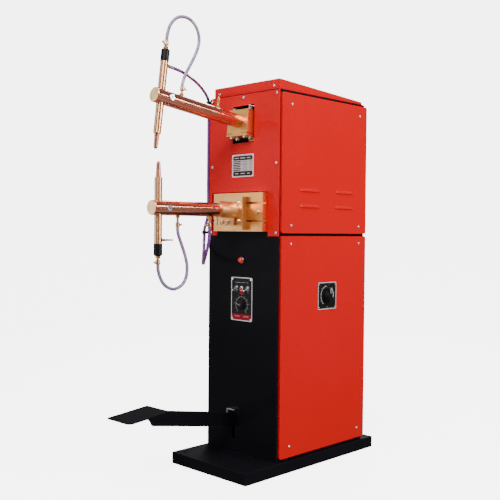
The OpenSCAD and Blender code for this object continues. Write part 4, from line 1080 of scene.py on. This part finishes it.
def arm_nipple(bm, at, hose_end, clipped):
    """A nipple out of an arm, from its thread to the hose's end."""
    stem = [(3.4, 12)] + threads(4.0, 12.5, 24.0, 1.3, 0.5)
    lathe(bm, stem + [(5.4, 24.05), (5.4, 24.4), (4.4, 24.6), (4.4, 31.4)], at, 32)
    hexagon(bm, at, 12, 24.3, 31.2)
    tail = [(4.6, 31.1), (3.6, 31.9), (3.6, 33.0)]
    tail += barbs(3.3, 4.3, 33.4, hose_end - 0.2, 4 if hose_end > 58 else 3)
    lathe(bm, tail + [(2.9, hose_end)], at, 32)
    if clipped:
        cuff(bm, at, hose_end - 16, hose_end)
        hose_clip(bm, at @ shift(z=hose_end - 13) @ spin(180), 7.4, 12, 11.5)
    else:
        ferrule = [(5.2, hose_end - 22), (5.8, hose_end - 21), (5.8, hose_end - 5), (5.0, hose_end - 4)]
        lathe(bm, ferrule, at, 36, flutes=12, depth=0.4)


def drain_spigot(end):
    """The profile of a pointed spigot with a knurled foot and a blind bore."""
    foot = [(4.6, 17.7), (4.9, 18.4), (4.3, 20), (4.0, 26), (4.3, 26.4), (4.3, 27.6), (3.9, 28)]
    return foot + [(3.2, 44), (2.7, end - 1), (2.4, end), (1.5, end), (1.5, end - 8), (0, end - 8)]


def holder_fittings(bm, at, side_end, drain):
    """The tail stem with its clip, and the side nipple, as a drain spigot or with a hose's end."""
    tail = at @ shift(z=-182)
    lathe(bm, [(3.3, 0)] + barbs(3.3, 4.1, 0.6, 17) + [(4.0, 17.5), (4.0, 66)], tail, 32)
    hexagon(bm, tail, 14, 19.8, 27.8, 1.0)
    lathe(bm, [(5.6, 27.7), (6.4, 28.1), (6.4, 28.8), (5.6, 29.0)], tail, 36)
    cuff(bm, tail, 0, 17)
    hose_clip(bm, tail @ shift(z=1), 7.8, 13, 9.5)
    side = at @ shift(z=-103) @ spin(-90, "X")
    lathe(bm, [(3.5, 6), (4.0, 6.5), (4.0, 12.9)], side, 28)
    hexagon(bm, side, 11, 12.8, 17.8)
    if drain:
        lathe(bm, drain_spigot(side_end), side, 32)
    else:
        tail_end = [(4.6, 17.7), (3.6, 18.3)] + barbs(3.3, 4.2, 18.6, side_end - 0.2) + [(2.6, side_end)]
        lathe(bm, tail_end, side, 28)
        cuff(bm, side, 22, side_end + 0.1)


def make_fittings():
    """Nipples, barbs, clips and hose ends of both arms and both holders."""
    finishes = [BRASS, HOSE, CLIP]
    front, back = (ROCKER @ shift(y=y, z=-ARM_DROP) for y in UPPER_NIPPLES_Y)
    bm = bmesh.new()
    arm_nipple(bm, front, 55, True)
    arm_nipple(bm, back, 62, False)
    ship(finish_mesh("upper_arm_nipples", bm, finishes, 32), "rocker", "brass", "upper_arm_fittings")
    front, back = (mm(0, y, LOWER_AXIS[2]) @ UPSIDE_DOWN for y in LOWER_NIPPLES_Y)
    down = LOWER_AXIS[2] - LOWER_HOSE_Z
    bm = bmesh.new()
    arm_nipple(bm, front, down, True)
    arm_nipple(bm, back @ Matrix.Scale(-1, 4, (0, 1, 0)), down, True)
    ship(finish_mesh("lower_arm_nipples", bm, finishes, 32), "lower_horn", "brass", "lower_arm_fittings")
    for name, at, side_end, drain in (("upper", UPPER, 35.5, False), ("lower", LOWER, 62, True)):
        bm = bmesh.new()
        holder_fittings(bm, at, side_end, drain)
        ship(finish_mesh(f"{name}_holder_nipples", bm, finishes, 32), f"{name}_electrode", "brass",
             f"{name}_holder_fittings")


# --- Springs, shunt, louvres and weld beads ---

def spring(name, body, node, low, high, turns=4):
    """A compression spring on the push rod, with closed ends."""
    wire, radius, steps, play = 2.2, 13.0, 28, 0.4
    travel = high - low - 2 * (wire + play)
    total = turns + 2
    path = []
    for k in range(int(total * steps) + 1):
        t = k / steps
        free = min(max(t - 0.9, 0) / (total - 1.8), 1)
        x, y = polar(radius, 2 * pi * t)
        path.append(Vector((ROD[0] + x, ROD[1] + y, low + wire + play + travel * free)) * MM)
    bm = bmesh.new()
    caps(bm, sweep(bm, path, wire * MM, 12))
    return ship(finish_mesh(name, bm, [SPRING], 60), body, "steel", node)


def make_springs():
    """The rod's return spring under its guide, and the pressure spring above its collar."""
    back = spring("coiled_return_spring", "cabinet", "return_spring", 598.2, 689.8)
    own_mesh(back)
    spring("coiled_pressure_spring", "rod", "pressure_spring", 1108.2, 1207.8)


SHUNT_LINE = [
    (85, 1013), (81, 1024), (80, 1042), (80, 1070), (80, 1099), (74, 1119), (63.5, 1134), (51, 1144),
    (40.3, 1147.6), (24, 1149.5), (8.5, 1151.4)]
LEAVES, LEAF_STEP, LEAF_HALF = 7, 1.08, 0.42
SHUNT_X = (8, 58)


def shunt_row(bm, point, normal, lift, inset):
    """One leaf's four corners across a point of the shunt's line."""
    left, right = SHUNT_X[0] + inset, SHUNT_X[1] - inset
    section = ((left, -LEAF_HALF), (right, -LEAF_HALF), (right, LEAF_HALF), (left, LEAF_HALF))
    return [bm.verts.new(point + (Vector((x, 0, 0)) + normal * (lift + t)) * MM) for x, t in section]


def make_shunt():
    """Copper leaves between the transformer and the arm clamp, which fan out between their ends."""
    bm = bmesh.new()
    path = smooth_path([(0, y, z) for y, z in SHUNT_LINE])
    for leaf in range(LEAVES):
        offset = (leaf - (LEAVES - 1) / 2) * LEAF_STEP
        rows = []
        for i, (point, ahead) in enumerate(zip(path, directions(path))):
            normal = Vector((0, -ahead.z, ahead.y))
            fan = 1 + 0.22 * sin(pi * i / (len(path) - 1))
            rows.append(shunt_row(bm, point, normal, offset * fan, 0.4 * (leaf % 2)))
        walls(bm, rows)
        caps(bm, rows)
    obj = finish_mesh("leaf_shunt", bm, [LEAF], 40)
    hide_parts("flexible_shunt")
    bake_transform(obj)


LOUVRES = [(y, z) for y in (92, 290) for z in (972, 916)]
LOUVRE_LENGTH, LOUVRE_DROP, LOUVRE_REACH, LOUVRE_END = 104, 9.4, 3.4, 9


def louvre(bm, at, columns=20, arcs=7):
    """One pressed hood: it swells from its rounded ends, and its lip stands off the sheet."""
    rows = []
    for i in range(columns + 1):
        t = i / columns
        edge = min(1, min(t, 1 - t) * LOUVRE_LENGTH / LOUVRE_END)
        swell = sqrt(1 - (1 - edge) ** 2)
        row = []
        for k in range(arcs + 1):
            y = (LOUVRE_DROP * swell + 0.4) * k / arcs - 0.4
            z = 0.05 + LOUVRE_REACH * swell * cos(pi / 2 * k / arcs) ** 0.8
            row.append(bm.verts.new(at @ Vector((LOUVRE_LENGTH * (t - 0.5), y, z))))
        rows.append(row)
    for low, high in zip(rows, rows[1:]):
        for k in range(arcs):
            bm.faces.new((low[k], high[k], high[k + 1], low[k + 1]))


def make_louvres():
    """Pressed hoods over the slits of both upper side covers."""
    bm = bmesh.new()
    for side in (1, -1):
        for y, z in LOUVRES:
            louvre(bm, on_side(y + LOUVRE_LENGTH / 2, z, side))
    bmesh.ops.remove_doubles(bm, verts=bm.verts, dist=1e-5)
    obj = finish_mesh("pressed_louvres", bm, [RED], 50)
    thick = obj.modifiers.new("sheet", "SOLIDIFY")
    thick.thickness = 0.0007
    thick.offset = -1
    ship(obj, "cabinet", "red_enamel")


def bead(bm, start, end, radius=2.2, pitch=3.0):
    """A weld bead: overlapping ripples along a seam."""
    run = end - start
    steps = 4 * max(2, round(run.length / pitch))
    path = [(start + run * (k / steps)) * MM for k in range(steps + 1)]
    rings = sweep(bm, path, radius * MM, 10)
    for k, (ring, point) in enumerate(zip(rings, path)):
        size = radius * (0.82 + 0.18 * cos(pi / 2 * (k % 4))) * MM
        for vert in ring:
            vert.co = point + (vert.co - point).normalized() * size
    caps(bm, rings)


def make_pedal_weld():
    """The bead that joins the foot plate to the pedal's bar, under the plate."""
    pedal = mm(*PEDAL_PIVOT) @ spin(PEDAL_TILT, "X")
    bar_side = -6.4
    plate_y, plate_top, plate_gauge = -517, 25.0, 5.2
    slope = tan(radians(15.3))
    ends = []
    for y in (-522.0, -600.0):
        under = plate_top - slope * (plate_y - y) - plate_gauge
        ends.append(pedal @ Vector((bar_side, y, under)) / MM)
    bm = bmesh.new()
    bead(bm, *ends)
    ship(finish_mesh("pedal_weld_bead", bm, [BLACK], 60), "pedal", "black_enamel")


for make in (make_cover_screws, make_rating_plate, make_control_plate, make_selector_plate, make_lamps,
             make_bezels, make_timer_knob, make_selector_knob, make_toggles, make_fittings, make_springs,
             make_shunt, make_louvres, make_pedal_weld):
    make()

# --- Studio ---


def make_studio():
    """A pale floor that curves up into a round wall, which only the camera sees."""
    f = Finish("paper backdrop", (0.86, 0.86, 0.86), 0.9)
    f.tint(f.noise(1.5, 3), (0.83, 0.83, 0.83), 0.4, 0.6, 0.5)
    f.set("Emission Color", (1, 1, 1, 1))
    f.set("Emission Strength", 5.0)
    radius, cove, height, steps, sides = 5.4, 1.4, 6.0, 12, 96
    profile = [(radius - cove, 0)]
    for k in range(1, steps + 1):
        x, y = polar(cove, -pi / 2 * (1 - k / steps))
        profile.append((radius - cove + x, cove + y))
    profile.append((radius, height))
    bm = bmesh.new()
    rings = [[bm.verts.new((*polar(r, a), z)) for a in around(sides)] for r, z in profile]
    bm.faces.new(rings[0])
    walls(bm, rings)
    backdrop = finish_mesh("backdrop", bm, [f.material])
    backdrop.visible_glossy = False
    backdrop.visible_diffuse = False
    backdrop.visible_shadow = False


def soft_box(name, at, target, width, height, power):
    """A soft light that the camera doesn't see."""
    data = bpy.data.lights.new(name, "AREA")
    data.shape = "RECTANGLE"
    data.size = width
    data.size_y = height
    data.energy = power
    light = linked(name, data)
    light.location = at
    light.rotation_euler = (Vector(target) - Vector(at)).to_track_quat("-Z", "Y").to_euler()
    light.visible_camera = False


make_studio()
soft_box("right strip", (3.0, 0.6, 1.3), (0, -0.2, 1.0), 0.6, 2.4, 46)
soft_box("arm streak", (2.6, 1.15, 1.95), (0, -0.3, 1.1), 1.1, 0.32, 38)
soft_box("front panel", (-1.75, -3.1, 1.3), (0, -0.2, 1.0), 2.6, 2.4, 32)
soft_box("high fill", (1.8, -3.0, 3.7), (0, -0.1, 0.8), 2.4, 1.2, 165)
soft_box("top", (0.3, -0.8, 3.6), (0, -0.1, 0.6), 1.0, 2.0, 50)
soft_box("rear", (-2.2, 3.2, 3.0), (0, 0.2, 0.8), 1.4, 2.0, 110)

ROOM_LEVELS = ((0.0, 0.60), (0.45, 0.20), (0.56, 0.08), (1.0, 0.34))  # brightness from straight down to up


def make_room():
    """A dim room round the light boxes: pale floor, grey walls and a lighter ceiling."""
    world = bpy.data.worlds.new("room")
    world.use_nodes = True
    nodes, links = world.node_tree.nodes, world.node_tree.links
    split = nodes.new("ShaderNodeSeparateXYZ")
    height = nodes.new("ShaderNodeMapRange")
    height.inputs["From Min"].default_value = -1.0
    ramp = nodes.new("ShaderNodeValToRGB")
    links.new(nodes.new("ShaderNodeTexCoord").outputs["Generated"], split.inputs["Vector"])
    links.new(split.outputs["Z"], height.inputs["Value"])
    links.new(height.outputs["Result"], ramp.inputs["Fac"])
    links.new(ramp.outputs["Color"], nodes["Background"].inputs["Color"])
    stops = ramp.color_ramp.elements
    for where, _ in ROOM_LEVELS[1:-1]:
        stops.new(where)
    for stop, (where, level) in zip(stops, ROOM_LEVELS):
        stop.position = where
        stop.color = (level * 0.97, level * 0.98, level, 1)
    bpy.context.scene.world = world


make_room()
